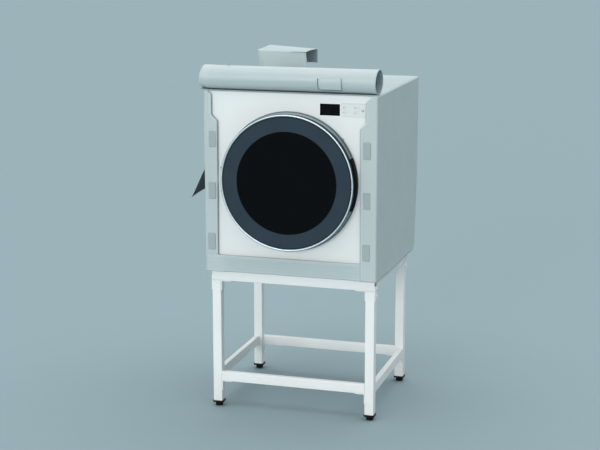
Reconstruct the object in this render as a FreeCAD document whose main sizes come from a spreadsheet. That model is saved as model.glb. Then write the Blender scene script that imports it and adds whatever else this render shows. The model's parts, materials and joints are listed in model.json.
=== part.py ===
"""Gas tumble dryer in its weather cover, standing on a knock-down steel stand.

Millimetres. The front faces -Y, +X is the viewer's right, +Z is up.
The origin is on the floor, midway between the four feet.
"""
import FreeCAD
import Part
import math
import os
import re
import Sketcher

Vector = FreeCAD.Vector
Rotation = FreeCAD.Rotation

# Driving sizes
SIZES = {
    # Stand
    "stand_side_inset": 7,
    "stand_end_inset": 24,
    "stand_height": 540,
    "leg_side": 35,
    "tube_wall": 1.6,
    "tube_round": 3,
    "top_rail_height": 38,
    "lower_rail_height": 38,
    "lower_rail_thick": 20,
    "lower_rail_level": 103,
    "leg_lift": 22,
    "cap_flange": 7,
    "cap_overhang": 3,
    "cap_plug": 16,
    "foot_radius": 14,
    "foot_height": 13,
    "foot_edge": 1,
    "foot_shoulder": 3,
    "stud_radius": 5,
    "stud_length": 46,
    "plate_thick": 2.5,
    "plate_reach": 38,
    "plate_inset": 2,
    "bolt_radius": 3,
    "bolt_head_radius": 5.5,
    "bolt_head_height": 4,
    "bolt_shank": 12,
    # Clearances
    "running_fit": 0.05,
    "slip_fit": 0.3,
    "hole_play": 0.1,
    "pass_gap": 1,
    "cut_over": 1,
    # Cabinet
    "body_width": 650,
    "body_depth": 580,
    "body_height": 680,
    "pad_height": 8,
    "pad_radius": 16,
    "skin": 0.8,
    "panel_thick": 1,
    "flange_depth": 12,
    "panel_corner": 6,
    "base_rim": 25,
    "back_thick": 0.8,
    "port_step": 5,
    # Intake louvres
    "louvre_low": 70,
    "louvre_length": 90,
    "louvre_height": 6,
    "louvre_pitch": 16,
    "louvre_count": 6,
    # Door
    "door_proud": 54,
    "door_gap": 3,
    "glass_step": 4,
    "glass_inset": 3,
    "glass_thick": 5,
    "trim_width": 8.5,
    "trim_depth": 13,
    "trim_round": 3,
    "web_thick": 8,
    "frame_ledge": 9,
    "frame_overlap": 28,
    "frame_wall": 12,
    "rim_reach": 10,
    "rim_depth": 20,
    "rim_slope": 9,
    "rim_edge": 1.5,
    "edge_round": 1,
    "bowl_gap": 7,
    "bowl_draft": 13,
    "bowl_depth": 30,
    "bowl_wall": 4,
    "bowl_flange": 3,
    "bowl_round": 10,
    "grip_sweep": 45,
    "grip_depth": 10,
    "grip_wall": 2.5,
    "grip_lip": 5,
    "grip_slope": 4,
    "grip_round": 4,
    "hinge_offset": 5,
    "hinge_depth": 28,
    "hinge_pin_radius": 2.5,
    "hinge_knuckle": 4,
    "hinge_arm": 6,
    "hinge_height": 52,
    "hinge_lug": 20,
    "hinge_plate_width": 36,
    "hinge_plate_ear": 14,
    "hinge_plate_thick": 3,
    "latch_angle": 39,
    "latch_offset": 1,
    "latch_width": 10,
    "latch_height": 14,
    "latch_reach": 15,
    "latch_play": 1.5,
    "latch_swing": 4,
    "latch_hook": 4,
    "latch_notch": 6,
    # Control strip
    "strip_margin": 27,
    "strip_width": 186,
    "strip_height": 49,
    "strip_drop": 52.5,
    "strip_thick": 3,
    "strip_proud": 0.6,
    "strip_round": 3,
    "display_left": 6,
    "display_width": 74.6,
    "display_height": 41,
    "display_depth": 2,
    "display_ledge": 3,
    "key_proud": 0.4,
    "key_length": 5.8,
    "key_flange": 1.5,
    "key_flange_thick": 1,
    "key_float": 0.4,
    "key_round": 1.5,
    "arrow_key_side": 11,
    "arrow_key_gap": 17.5,
    "arrow_key_column": 95,
    "word_key_width": 20,
    "word_key_height": 12,
    "word_key_gap": 18.5,
    "word_key_column": 138.5,
    "power_key_radius": 8.5,
    "power_key_column": 165.4,
    "post_radius": 2.5,
    "post_inset": 3.2,
    "board_gap": 1.2,
    "board_thick": 1.6,
    # Drum
    "drum_side_gap": 39.2,
    "drum_top_gap": 39,
    "drum_floor_gap": 71,
    "drum_gap": 50,
    "drum_wall": 0.8,
    "drum_front_rim": 61,
    "drum_lip": 12,
    "drum_shoulder": 16,
    "drum_back_inset": 6,
    "drum_slot_length": 70,
    "drum_slot_width": 9,
    "drum_slot_radius": 150,
    "drum_slot_count": 24,
    "lifter_base": 60,
    "lifter_top": 26,
    "lifter_height": 55,
    "lifter_length": 380,
    "lifter_wall": 3,
    "shaft_radius": 12.5,
    "shaft_flange": 70,
    "shaft_flange_thick": 5,
    "shaft_length": 58,
    "bearing_radius": 25,
    "bearing_flange": 45,
    "bearing_flange_thick": 4,
    "bearing_length": 28,
    # Bulkheads and felt
    "bulkhead_thick": 1,
    "felt_thick": 7,
    "collar_wall": 3,
    "collar_length": 62,
    "rear_gap": 14,
    "rear_room": 50,
    "air_hole_radius": 30,
    "air_hole_circle": 95,
    # Motor and belt
    "motor_lead": 182,
    "motor_level": 86,
    "motor_radius": 50,
    "motor_length": 130,
    "motor_bell": 12,
    "motor_bell_radius": 30,
    "motor_foot": 70,
    "cradle_wall": 4,
    "cradle_inset": 15,
    "rotor_gap": 3,
    "rotor_radius": 6,
    "rotor_length": 338,
    "rotor_lead": 234,
    "pulley_radius": 9,
    "pulley_flange": 12,
    "pulley_width": 16,
    "pulley_cheek": 3,
    "belt_width": 8,
    "belt_thick": 3,
    # Blower and ducts
    "blower_depth": 116,
    "blower_gap": 14.2,
    "blower_radius": 70,
    "blower_outlet": 48,
    "blower_rise": 86,
    "blower_inlet": 40,
    "wheel_radius": 52,
    "wheel_width": 92,
    "wheel_blade_depth": 11,
    "wheel_blade_thick": 2,
    "wheel_blades": 20,
    "wheel_hub": 16,
    "wheel_hub_length": 24,
    "wheel_disc": 3,
    "wheel_gap": 10,
    "duct_wall": 1.5,
    "elbow_height": 42,
    "riser_width": 160,
    "riser_over": 20,
    "exhaust_inset": 113,
    "exhaust_drop": 98,
    "exhaust_radius": 40,
    "exhaust_wall": 1.2,
    "exhaust_run": 8,
    "exhaust_bend": 50,
    "exhaust_rise": 54.7,
    "filter_duct_width": 200,
    "filter_gap": 0.5,
    "chute_rise": 22,
    "floor_duct_left": 185,
    "floor_duct_right": 60,
    "floor_duct_height": 50,
    "plenum_width": 100,
    "plenum_height": 134,
    "plenum_depth": 16,
    "filter_width": 180,
    "filter_thick": 12,
    "filter_depth": 100,
    "filter_frame": 10,
    "filter_screen": 1.5,
    "filter_rise": 30,
    "filter_clear": 4,
    # Gas train
    "burner_offset": 70,
    "burner_level": 92,
    "burner_mouth": 26,
    "burner_throat": 17,
    "burner_length": 190,
    "burner_waist": 57,
    "burner_head": 48,
    "burner_swell": 4,
    "burner_wall": 2,
    "burner_flange_thick": 3,
    "burner_flange": 44,
    "heat_radius": 140,
    "heat_arm_width": 100,
    "heat_arm_under": 50,
    "heat_arm_height": 72,
    "valve_gap": 16.2,
    "valve_level": 52,
    "valve_width": 46,
    "valve_lead": 72,
    "valve_length": 60,
    "coil_radius": 16,
    "coil_height": 30,
    "orifice_radius": 6,
    "orifice_gap": 4,
    "gas_radius": 7,
    "gas_wall": 2,
    "gas_bend": 20,
    "gas_back": 45,
    "gas_drop": 20,
    "nipple_radius": 4.75,
    "nipple_length": 25,
    "nipple_bore": 3,
    # Weather cover
    "cover_side_gap": 7,
    "cover_front_gap": 10,
    "cover_back_gap": 108,
    "cloth": 2,
    "hem_front_drop": 5,
    "hem_back_drop": 27,
    "hem_round": 48,
    "back_fold_drop": 378.3,
    "back_draw": 38,
    "back_fold_round": 300,
    "back_hem_gap": 6,
    "skirt_drop": 3,
    "skirt_height": 66,
    "left_strip_top": 22,
    "left_strip": 48,
    "left_step_drop": 88.3,
    "left_corner_drop": 10,
    "left_corner_edge": 4,
    "left_step": 19,
    "right_strip_top": 37,
    "right_strip": 57,
    "right_step_drop": 101.3,
    "right_corner_drop": 23,
    "right_corner_edge": 5,
    "right_step": 17,
    "tape_width": 30,
    "tape_height": 64,
    "tape_thick": 1.2,
    "tape_rise": 42,
    "tape_top_gap": 69,
    "tape_left_inset": 23.5,
    "tape_right_inset": 37,
    "roll_radius": 48,
    "roll_pitch": 5,
    "roll_half_turns": 5,
    "roll_left_over": 23,
    "roll_right_over": 3,
    "roll_setback": 26,
    "hood_left_room": 103,
    "hood_right_room": 104,
    "hood_depth": 161,
    "hood_left_rise": 110.7,
    "hood_right_rise": 98.7,
    "hood_back_rise": 42.7,
    "flap_drop": 240.3,
    "flap_front": 190,
    "flap_width": 220,
    "flap_length": 209,
    "flap_angle": 26,
    "flap_bead": 3,
    "pipe_gap": 4,
    "vent_inset": 22,
    "vent_height": 148,
}

# Positions worked out from the driving sizes
LAYOUT = {
    "stand_width": "body_width - 2 * stand_side_inset",
    "stand_depth": "body_depth - 2 * stand_end_inset",
    "leg_x": "stand_width / 2 - leg_side / 2",
    "leg_y": "stand_depth / 2 - leg_side / 2",
    "rail_low": "stand_height - top_rail_height",
    "body_low": "stand_height + pad_height",
    "body_top": "body_low + body_height",
    "floor_top": "body_low + skin",
    "half_body": "body_width / 2",
    "inner_half": "half_body - skin",
    "flange_half": "inner_half - slip_fit",
    "flange_top": "body_top - skin - slip_fit",
    "bulkhead_half": "inner_half - skin - slip_fit",
    "panel_front": "-body_depth / 2",
    "panel_back": "panel_front + panel_thick",
    "back_outer": "body_depth / 2",
    "back_inner": "back_outer - back_thick",
    "axis_z": "body_top - drum_top_gap - drum_radius",
    "bulkhead_front": "panel_back + flange_depth",
    "bulkhead_back": "bulkhead_front + bulkhead_thick",
    "drum_front": "panel_back + drum_gap",
    "drum_end": "rear_front - rear_gap",
    "drum_length": "drum_end - drum_front",
    "drum_radius": "min(inner_half - drum_side_gap; (body_height - drum_floor_gap - drum_top_gap) / 2)",
    "drum_mouth": "drum_radius - drum_front_rim",
    "collar_radius": "drum_mouth - felt_thick",
    "collar_bore": "collar_radius - collar_wall",
    "port_radius": "collar_radius + port_step",
    "drum_inner": "drum_radius - drum_wall",
    "rear_front": "back_inner - rear_room",
    "rear_back": "rear_front + bulkhead_thick",
    "drum_plate": "drum_end - drum_back_inset",
    "door_front": "panel_front - door_proud",
    "door_back": "door_proud - door_gap",
    "seat": "glass_inset + glass_thick",
    "web_back": "seat + web_thick",
    "frame_wall_radius": "port_radius + frame_overlap",
    "frame_wall_inner": "frame_wall_radius - frame_wall",
    "glass_radius": "frame_wall_radius - glass_step",
    "rim_radius": "frame_wall_radius + rim_reach",
    "bowl_radius": "collar_bore - bowl_gap",
    "bowl_floor_radius": "bowl_radius - bowl_draft",
    "frame_inner": "bowl_radius - frame_ledge",
    "rim_front": "door_back - rim_depth",
    "trim_radius": "glass_radius + trim_width",
    "bowl_back": "door_proud + bowl_depth",
    "hinge_y": "panel_front - hinge_depth",
    "hinge_reach": "frame_wall_radius + hinge_offset",
    "lug_start": "hinge_height / 2 + pass_gap",
    "pin_low": "axis_z - lug_start - hinge_lug",
    "latch_y": "panel_front - door_gap",
    "latch_radius": "frame_wall_radius + latch_offset",
    "latch_side": "latch_radius * cos(latch_angle)",
    "latch_rise": "latch_radius * sin(latch_angle)",
    "strip_z": "body_top - strip_drop",
    "strip_left": "half_body - strip_margin - strip_width",
    "strip_front": "panel_front - strip_proud",
    "strip_back": "strip_front + strip_thick",
    "key_front": "strip_front - key_proud",
    "key_flange_y": "strip_back + key_float",
    "board_front": "key_front + key_length + board_gap",
    "motor_z": "body_low + motor_level",
    "motor_side": "inner_half - blower_gap - blower_radius",
    "blower_front": "rear_front - blower_depth",
    "motor_front": "blower_front - motor_lead",
    "rotor_front": "blower_front - rotor_lead",
    "pulley_start": "pulley_width / 2",
    "pulley_end": "pulley_start + pulley_width",
    "belt_y": "rotor_front + pulley_width",
    "blower_left": "motor_side + blower_radius",
    "blower_top": "motor_z + blower_rise",
    "blower_back": "rear_front",
    "elbow_top": "blower_top + elbow_height",
    "grip_floor": "frame_wall_radius - grip_depth",
    "exhaust_z": "body_top - exhaust_drop",
    "exhaust_side": "blower_left - exhaust_inset",
    "exhaust_top": "cover_top_z + exhaust_rise",
    "pipe_radius": "exhaust_radius + slip_fit + exhaust_wall",
    "riser_top": "exhaust_z + exhaust_radius + riser_over",
    "exhaust_y": "back_outer + exhaust_run + exhaust_bend",
    "filter_back": "drum_front - filter_clear",
    "filter_front": "filter_back - filter_thick",
    "burner_z": "body_low + burner_level",
    "valve_z": "body_low + valve_level",
    "valve_side": "inner_half - valve_gap - valve_width / 2",
    "burner_side": "valve_side - burner_offset",
    "valve_front": "jet_y - valve_lead",
    "gas_y": "back_outer + gas_back",
    "gas_start": "valve_front + valve_length",
    "nipple_top": "valve_z - gas_bend - gas_drop",
    "jet_y": "rear_front - burner_length - orifice_gap - 2 * orifice_radius",
    "half_cover": "half_body + cover_side_gap",
    "cover_width": "2 * half_cover",
    "cover_front_y": "panel_front - cover_front_gap",
    "cover_back_y": "back_outer + cover_back_gap",
    "cover_under": "body_top + slip_fit",
    "cover_top_z": "cover_under + cloth",
    "hem_front": "body_low - hem_front_drop",
    "hem_back": "body_low - hem_back_drop",
    "back_fold_z": "cover_under - back_fold_drop",
    "back_low_z": "hem_back + hem_round + back_hem_gap",
    "back_hem_y": "cover_back_y - back_draw",
    "back_low_y": "cover_back_y - back_draw * (back_fold_z - back_low_z) / (back_fold_z - hem_back)",
    "skirt_low": "body_low - skirt_drop",
    "skirt_top": "skirt_low + skirt_height",
    "left_step_high": "cover_under - left_step_drop",
    "left_step_low": "left_step_high - left_step",
    "right_step_high": "cover_under - right_step_drop",
    "right_step_low": "right_step_high - right_step",
    "tape_low": "skirt_top + tape_rise",
    "tape_pitch": "(right_step_low - tape_low - tape_top_gap) / 2",
    "tape_left": "half_cover - tape_left_inset",
    "tape_right": "half_cover - tape_right_inset",
    "roll_left": "half_cover + roll_left_over",
    "roll_right": "half_cover + roll_right_over",
    "roll_y": "cover_front_y + roll_setback",
    "roll_z": "cover_top_z + roll_radius + slip_fit",
    "hood_front": "cover_back_y - hood_depth",
    "hood_left": "exhaust_side + hood_left_room",
    "hood_right": "exhaust_side - hood_right_room",
    "hood_top_left": "cover_top_z + hood_left_rise",
    "hood_top_right": "cover_top_z + hood_right_rise",
    "hood_back_low": "cover_top_z + hood_back_rise",
    "flap_level": "cover_under - flap_drop",
    "flap_x": "-half_cover - flap_bead - slip_fit",
}

doc = FreeCAD.newDocument("Dryer")
sizes = doc.addObject("Spreadsheet::Sheet", "Sizes")
layout = doc.addObject("Spreadsheet::Sheet", "Layout")


def names(text):
    """Expression text with every size and position name led back to its sheet."""
    def owner(found):
        word = found.group()
        if word in SIZES:
            return "Sizes." + word
        if word in LAYOUT:
            return "Layout." + word
        return word
    return re.sub(r"[a-z][a-z_]*", owner, str(text))


for row, (alias, amount) in enumerate(SIZES.items(), start=1):
    sizes.set("A%d" % row, alias)
    sizes.set("B%d" % row, str(amount))
    sizes.setAlias("B%d" % row, alias)
doc.recompute()
for row, alias in enumerate(LAYOUT, start=1):
    layout.set("A%d" % row, alias)
    layout.setAlias("B%d" % row, alias)
for row, formula in enumerate(LAYOUT.values(), start=1):
    layout.set("B%d" % row, "=" + names(formula))
doc.recompute()


# Makers of parametric solids
ALONG = {
    "x": Rotation(Vector(0, 1, 0), 90),
    "y": Rotation(Vector(1, 0, 0), -90),
    "z": Rotation(),
}
ACROSS = {"x": "YZ_Plane", "y": "XZ_Plane", "z": "XY_Plane"}
counter = {"made": 0}


def number(text):
    """Value of an expression in the sheets' names, in millimetres or degrees."""
    return float(sizes.evalExpression(names(text)))


def label(stem):
    counter["made"] += 1
    return "%s_%d" % (stem, counter["made"])


def bind(made, **texts):
    """Drive properties of an object by expressions."""
    for prop, text in texts.items():
        made.setExpression(prop, names(text))
    return made


def place(made, x="0", y="0", z="0", turn=None):
    """Turn an object and drive its position."""
    made.Placement = FreeCAD.Placement(Vector(), turn or Rotation())
    for axis, text in zip("xyz", (x, y, z)):
        made.setExpression("Placement.Base." + axis, names(text))
    return made


def block(x, y, z):
    """Box between the (low, high) pairs of expressions on the three axes."""
    made = doc.addObject("Part::Box", label("block"))
    bind(made, Length="(%s) - (%s)" % (x[1], x[0]))
    bind(made, Width="(%s) - (%s)" % (y[1], y[0]))
    bind(made, Height="(%s) - (%s)" % (z[1], z[0]))
    return place(made, x[0], y[0], z[0])


def mid(centre, width):
    """Low and high bounds of a width about a centre."""
    return ("%s - (%s) / 2" % (centre, width), "%s + (%s) / 2" % (centre, width))


def rod(axis, radius, length, x, y, z):
    """Cylinder whose start lies at x, y, z and which runs along the named axis."""
    made = doc.addObject("Part::Cylinder", label("rod"))
    bind(made, Radius=radius, Height=length)
    return place(made, x, y, z, ALONG[axis])


def cut(base, *tools):
    made = doc.addObject("Part::Cut", label("cut"))
    made.Base = base
    made.Tool = tools[0] if len(tools) == 1 else group(*tools)
    return made


def fuse(*members):
    made = doc.addObject("Part::MultiFuse", label("fuse"))
    made.Shapes = list(members)
    made.Refine = True
    return made


def group(*members):
    made = doc.addObject("Part::Compound", label("group"))
    made.Links = list(members)
    return made


def sketch_in(body, role):
    """Sketch on one of the body's own origin planes."""
    plane = next(item for item in body.Origin.OriginFeatures if item.Role == role)
    sketch = body.newObject("Sketcher::SketchObject", label("sketch"))
    sketch.AttachmentSupport = [(plane, "")]
    sketch.MapMode = "FlatFace"
    return sketch


def fix_point(sketch, geometry, end, u, v):
    """Drive a point's distances from the sketch origin."""
    for kind, text in (("DistanceX", u), ("DistanceY", v)):
        rule = Sketcher.Constraint(kind, -1, 1, geometry, end, number(text))
        index = sketch.addConstraint(rule)
        sketch.setExpression("Constraints[%d]" % index, names(text))


def outline(sketch, corners):
    """Closed outline through corners (u, v) or (u, v, radius), all expressions."""
    points = [Vector(number(c[0]), number(c[1]), 0) for c in corners]
    radii = [number(c[2]) if len(c) > 2 else 0 for c in corners]
    count = len(corners)
    leave = []
    arrive = []
    arcs = []
    for i, point in enumerate(points):
        back = (points[i - 1] - point).normalize()
        ahead = (points[(i + 1) % count] - point).normalize()
        half = math.acos(max(-1, min(1, back.dot(ahead)))) / 2
        trim = radii[i] / math.tan(half)
        arrive.append(point + back * trim)
        leave.append(point + ahead * trim)
        if radii[i]:
            centre = point + (back + ahead).normalize() * (radii[i] / math.sin(half))
            arcs.append((i, centre, back.cross(ahead).z < 0))
    first = sketch.GeometryCount
    for i in range(count):
        sketch.addGeometry(Part.LineSegment(leave[i], arrive[(i + 1) % count]))
    for i, corner in enumerate(corners):
        before = first + (i - 1) % count
        if not radii[i]:
            sketch.addConstraint(Sketcher.Constraint("Coincident", before, 2, first + i, 1))
            fix_point(sketch, first + i, 1, corner[0], corner[1])
    for i, centre, leftward in arcs:
        before = first + (i - 1) % count
        ends = (arrive[i], leave[i]) if leftward else (leave[i], arrive[i])
        angles = [math.atan2((e - centre).y, (e - centre).x) for e in ends]
        circle = Part.Circle(centre, Vector(0, 0, 1), radii[i])
        arc = sketch.addGeometry(Part.ArcOfCircle(circle, angles[0], angles[1]))
        sketch.addConstraint(Sketcher.Constraint("Tangent", before, 2, arc, 1 if leftward else 2))
        sketch.addConstraint(Sketcher.Constraint("Tangent", first + i, 1, arc, 2 if leftward else 1))
        index = sketch.addConstraint(Sketcher.Constraint("Radius", arc, radii[i]))
        sketch.setExpression("Constraints[%d]" % index, names(corners[i][2]))
        corner = sketch.addGeometry(Part.Point(points[i]), True)
        sketch.addConstraint(Sketcher.Constraint("PointOnObject", corner, 1, before))
        sketch.addConstraint(Sketcher.Constraint("PointOnObject", corner, 1, first + i))
        fix_point(sketch, corner, 1, corners[i][0], corners[i][1])


def ring(sketch, u, v, radius):
    """Circle whose centre and radius are driven."""
    centre = Vector(number(u), number(v), 0)
    circle = sketch.addGeometry(Part.Circle(centre, Vector(0, 0, 1), number(radius)))
    fix_point(sketch, circle, 3, u, v)
    index = sketch.addConstraint(Sketcher.Constraint("Radius", circle, number(radius)))
    sketch.setExpression("Constraints[%d]" % index, names(radius))


def box_corners(u, v, radius="0"):
    """Corners of a rectangle between bounds, rounded alike."""
    spots = [(u[0], v[0]), (u[1], v[0]), (u[1], v[1]), (u[0], v[1])]
    return [spot + (radius,) for spot in spots] if radius != "0" else spots


def turned(corners, x="0", y="0", z="0", axis="y", sweep=None):
    """Solid of revolution about an axis through x, y, z; corners are (radius, distance along)."""
    body = doc.addObject("PartDesign::Body", label("turned"))
    sketch = sketch_in(body, "XZ_Plane")
    outline(sketch, corners)
    made = body.newObject("PartDesign::Revolution", label("revolution"))
    made.Profile = sketch
    made.ReferenceAxis = (sketch, ["V_Axis"])
    if sweep:
        made.Midplane = True
        bind(made, Angle=sweep)
    return place(body, x, y, z, ALONG[axis])


def sheet_metal(role, thick, shapes, holes=(), **at):
    """Flat piece padded from outlines; rings and outlines among the holes are pocketed through."""
    body = doc.addObject("PartDesign::Body", label("flat"))
    sketch = sketch_in(body, role)
    for shape in shapes:
        draw(sketch, shape)
    pad = body.newObject("PartDesign::Pad", label("pad"))
    pad.Profile = sketch
    pad.Reversed = role == "XZ_Plane"
    bind(pad, Length=thick)
    if holes:
        hole_sketch = sketch_in(body, role)
        for hole in holes:
            draw(hole_sketch, hole)
        pocket = body.newObject("PartDesign::Pocket", label("pocket"))
        pocket.Profile = hole_sketch
        pocket.Type = "ThroughAll"
        pocket.Midplane = True
    return place(body, **at)


def draw(sketch, shape):
    """Put a ring (u, v, radius) or a list of corners into a sketch."""
    if isinstance(shape, tuple):
        ring(sketch, *shape)
    else:
        outline(sketch, shape)


def pattern_of(body, feature, count):
    """Repeat a body's feature round the body's own Z axis."""
    axis = next(item for item in body.Origin.OriginFeatures if item.Role == "Z_Axis")
    made = body.newObject("PartDesign::PolarPattern", label("polar"))
    made.Originals = [feature]
    made.Axis = (axis, [""])
    made.Angle = 360
    bind(made, Occurrences=count)
    body.Tip = made
    return made


def solid(shape):
    """Node whose form is worked out from sheet values where no feature fits."""
    made = doc.addObject("Part::Feature", label("solid"))
    made.Shape = shape
    return made


parts = {}


def node(name, made):
    made.Label = name
    parts[name] = made


# Stand: legs, rails, corner plates, bolts
CORNERS = [(sx, sy) for sx in (-1, 1) for sy in (-1, 1)]


def tube(x, y, z, open_axis):
    """Square tube with rounded edges, padded along its open axis."""
    bounds = {"x": x, "y": y, "z": z}
    low, high = bounds.pop(open_axis)
    outside = list(bounds.values())
    inside = [("%s + tube_wall" % side[0], "%s - tube_wall" % side[1]) for side in outside]
    shapes = [box_corners(*outside, "tube_round"), box_corners(*inside, "tube_round - tube_wall")]
    return sheet_metal(ACROSS[open_axis], "(%s) - (%s)" % (high, low), shapes, **{open_axis: low})


# Heights of a corner's bolts: the upper in the rail, the lower in the leg
BOLT_LEVELS = ("rail_low + plate_reach / 4", "rail_low - plate_reach / 2")


legs = []
outer_plates = []
bolts = []
shank_holes = []
for sx, sy in CORNERS:
    foot_x = "%d * leg_x" % sx
    foot_y = "%d * leg_y" % sy
    legs.append(tube(mid(foot_x, "leg_side"), mid(foot_y, "leg_side"), ("leg_lift", "rail_low"), "z"))
    face = "%d * stand_width / 2" % sx
    outside = "%d * (stand_width / 2 + plate_thick)" % sx
    plate_x = (outside, face) if sx < 0 else (face, outside)
    plate_z = ("rail_low - plate_reach", "rail_low + plate_reach / 2")
    outer_plates.append(block(plate_x, mid(foot_y, "leg_side - 2 * plate_inset"), plate_z))
    for bolt_z in BOLT_LEVELS:
        start = outside + (" - bolt_shank" if sx > 0 else "")
        shank = rod("x", "bolt_radius", "bolt_shank", start, foot_y, bolt_z)
        head = doc.addObject("Part::Prism", label("hexagon"))
        bind(head, Circumradius="bolt_head_radius", Height="bolt_head_height")
        place(head, outside + ("" if sx > 0 else " - bolt_head_height"), foot_y, bolt_z, ALONG["x"])
        bolts.append(fuse(shank, head))
        hole_start = outside + (" - bolt_shank - cut_over" if sx > 0 else "")
        shank_holes.append(rod("x", "bolt_radius + hole_play", "bolt_shank + cut_over", hole_start,
                               foot_y, bolt_z))

rails = []
low_rails = []
gussets = []
for side in (-1, 1):
    rails.append(tube(("-stand_width / 2", "stand_width / 2"), mid("%d * leg_y" % side, "leg_side"),
                      ("rail_low", "stand_height"), "x"))
    rails.append(tube(mid("%d * leg_x" % side, "leg_side"), ("-leg_y + leg_side / 2", "leg_y - leg_side / 2"),
                      ("rail_low", "stand_height"), "y"))
    low_z = ("lower_rail_level", "lower_rail_level + lower_rail_height")
    across = "%d * (stand_depth / 2 - lower_rail_thick / 2)" % side
    low_rails.append(tube(("-leg_x + leg_side / 2", "leg_x - leg_side / 2"), mid(across, "lower_rail_thick"),
                          low_z, "x"))
    along = "%d * (stand_width / 2 - lower_rail_thick / 2)" % side
    low_rails.append(tube(mid(along, "lower_rail_thick"), ("-leg_y + leg_side / 2", "leg_y - leg_side / 2"),
                          low_z, "y"))
for sx, sy in CORNERS:
    face = "%d * (leg_x - leg_side / 2)" % sx
    far = "%d * (leg_x - leg_side / 2 - plate_reach)" % sx
    near = "%d * (leg_x - leg_side / 2 - plate_thick)" % sx
    for level, centre, width in (("rail_low", "%d * leg_y" % sy, "leg_side - 2 * plate_inset"),
                                 ("lower_rail_level", "%d * (stand_depth / 2 - lower_rail_thick / 2)" % sy,
                                  "lower_rail_thick - 2 * plate_inset")):
        flat_x = (far, face) if sx > 0 else (face, far)
        tall_x = (near, face) if sx > 0 else (face, near)
        flat = block(flat_x, mid(centre, width), (level + " - plate_thick", level))
        tall = block(tall_x, mid(centre, width), (level + " - plate_reach", level))
        gussets.append(fuse(flat, tall))

node("stand_legs", cut(group(*legs), *shank_holes))
node("stand_top_rails", cut(group(*rails), *shank_holes))
node("stand_lower_rails", group(*low_rails))
node("stand_brackets", cut(group(*(outer_plates + gussets)), *shank_holes))
node("stand_bolts", group(*bolts))

# Leg caps and levelling feet
caps = []
for sx, sy in CORNERS:
    foot_x = "%d * leg_x" % sx
    foot_y = "%d * leg_y" % sy
    flange_side = "leg_side + 2 * cap_overhang"
    flange = sheet_metal("XY_Plane", "cap_flange", [box_corners(
        mid(foot_x, flange_side), mid(foot_y, flange_side), "tube_round + cap_overhang")],
        z="leg_lift - cap_flange")
    plug_side = "leg_side - 2 * tube_wall - slip_fit"
    plug = sheet_metal("XY_Plane", "cap_plug", [box_corners(
        mid(foot_x, plug_side), mid(foot_y, plug_side), "tube_round - tube_wall / 2")], z="leg_lift")
    bore = rod("z", "stud_radius + running_fit", "leg_lift + cap_plug", foot_x, foot_y, "0")
    caps.append(cut(fuse(flange, plug), bore))
node("leg_caps", group(*caps))

FOOT_PROFILE = [
    ("0", "0"), ("foot_radius", "0", "foot_edge"),
    ("foot_radius", "foot_height - foot_shoulder", "foot_edge"),
    ("foot_radius - foot_shoulder", "foot_height"), ("stud_radius", "foot_height"),
    ("stud_radius", "foot_height + stud_length"), ("0", "foot_height + stud_length"),
]
for sx, sy in CORNERS:
    name = "foot_%s_%s" % ("left" if sx < 0 else "right", "front" if sy < 0 else "back")
    node(name, turned(FOOT_PROFILE, "%d * leg_x" % sx, "%d * leg_y" % sy, "0", axis="z"))

# Cabinet skin
pan = cut(block(mid("0", "2 * inner_half"), ("panel_back", "back_inner"),
                ("body_low", "body_low + base_rim")),
          block(mid("0", "2 * inner_half - 2 * skin"), ("panel_back + skin", "back_inner - skin"),
                ("floor_top", "body_low + base_rim + cut_over")))
pads = [rod("z", "pad_radius", "pad_height", "%d * leg_x" % sx, "%d * leg_y" % sy, "stand_height")
        for sx, sy in CORNERS]
node("base_pan", fuse(pan, *pads))

node("cabinet_wrapper", cut(
    block(mid("0", "body_width"), ("panel_back", "back_inner"), ("body_low", "body_top")),
    block(mid("0", "2 * inner_half"), ("panel_back - cut_over", "back_inner + cut_over"),
          ("body_low - cut_over", "body_top - skin"))))

gas_hole = ("valve_side", "valve_z", "gas_radius + pass_gap")
louvres = [box_corners(mid("0", "louvre_length"), mid("body_low + louvre_low + %d * louvre_pitch" % step,
                                                       "louvre_height"))
           for step in range(SIZES["louvre_count"])]
node("back_panel", sheet_metal(
    "XZ_Plane", "back_thick", [box_corners(mid("0", "body_width"), ("body_low", "body_top"))],
    [gas_hole, ("-exhaust_side", "exhaust_z", "exhaust_radius + pass_gap")] + louvres, y="back_inner"))

hinge_slot = box_corners(mid("-hinge_reach", "hinge_arm + 2 * pass_gap"),
                         mid("axis_z", "hinge_height + 2 * pass_gap"))
latch_slot = box_corners(("latch_side - latch_width / 2 - latch_play",
                          "latch_side + latch_width / 2 + latch_swing"),
                         mid("axis_z + latch_rise", "latch_height + 2 * latch_play"))
strip_window = box_corners(("strip_left - slip_fit", "strip_left + strip_width + slip_fit"),
                           mid("strip_z", "strip_height + 2 * slip_fit"), "strip_round")
port = ("0", "axis_z", "port_radius")
face_plate = sheet_metal(
    "XZ_Plane", "panel_thick",
    [box_corners(mid("0", "body_width"), ("body_low", "body_top"), "panel_corner")],
    [port, hinge_slot, latch_slot, strip_window], y="panel_front")
flange_low = "body_low + base_rim + pass_gap"
return_flange = sheet_metal(
    "XZ_Plane", "flange_depth",
    [box_corners(mid("0", "2 * flange_half"), (flange_low, "flange_top"), "panel_corner"),
     box_corners(mid("0", "2 * flange_half - 2 * skin"), (flange_low + " + skin", "flange_top - skin"),
                 "panel_corner - skin")], y="panel_back")
node("front_panel", fuse(face_plate, return_flange))

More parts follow.
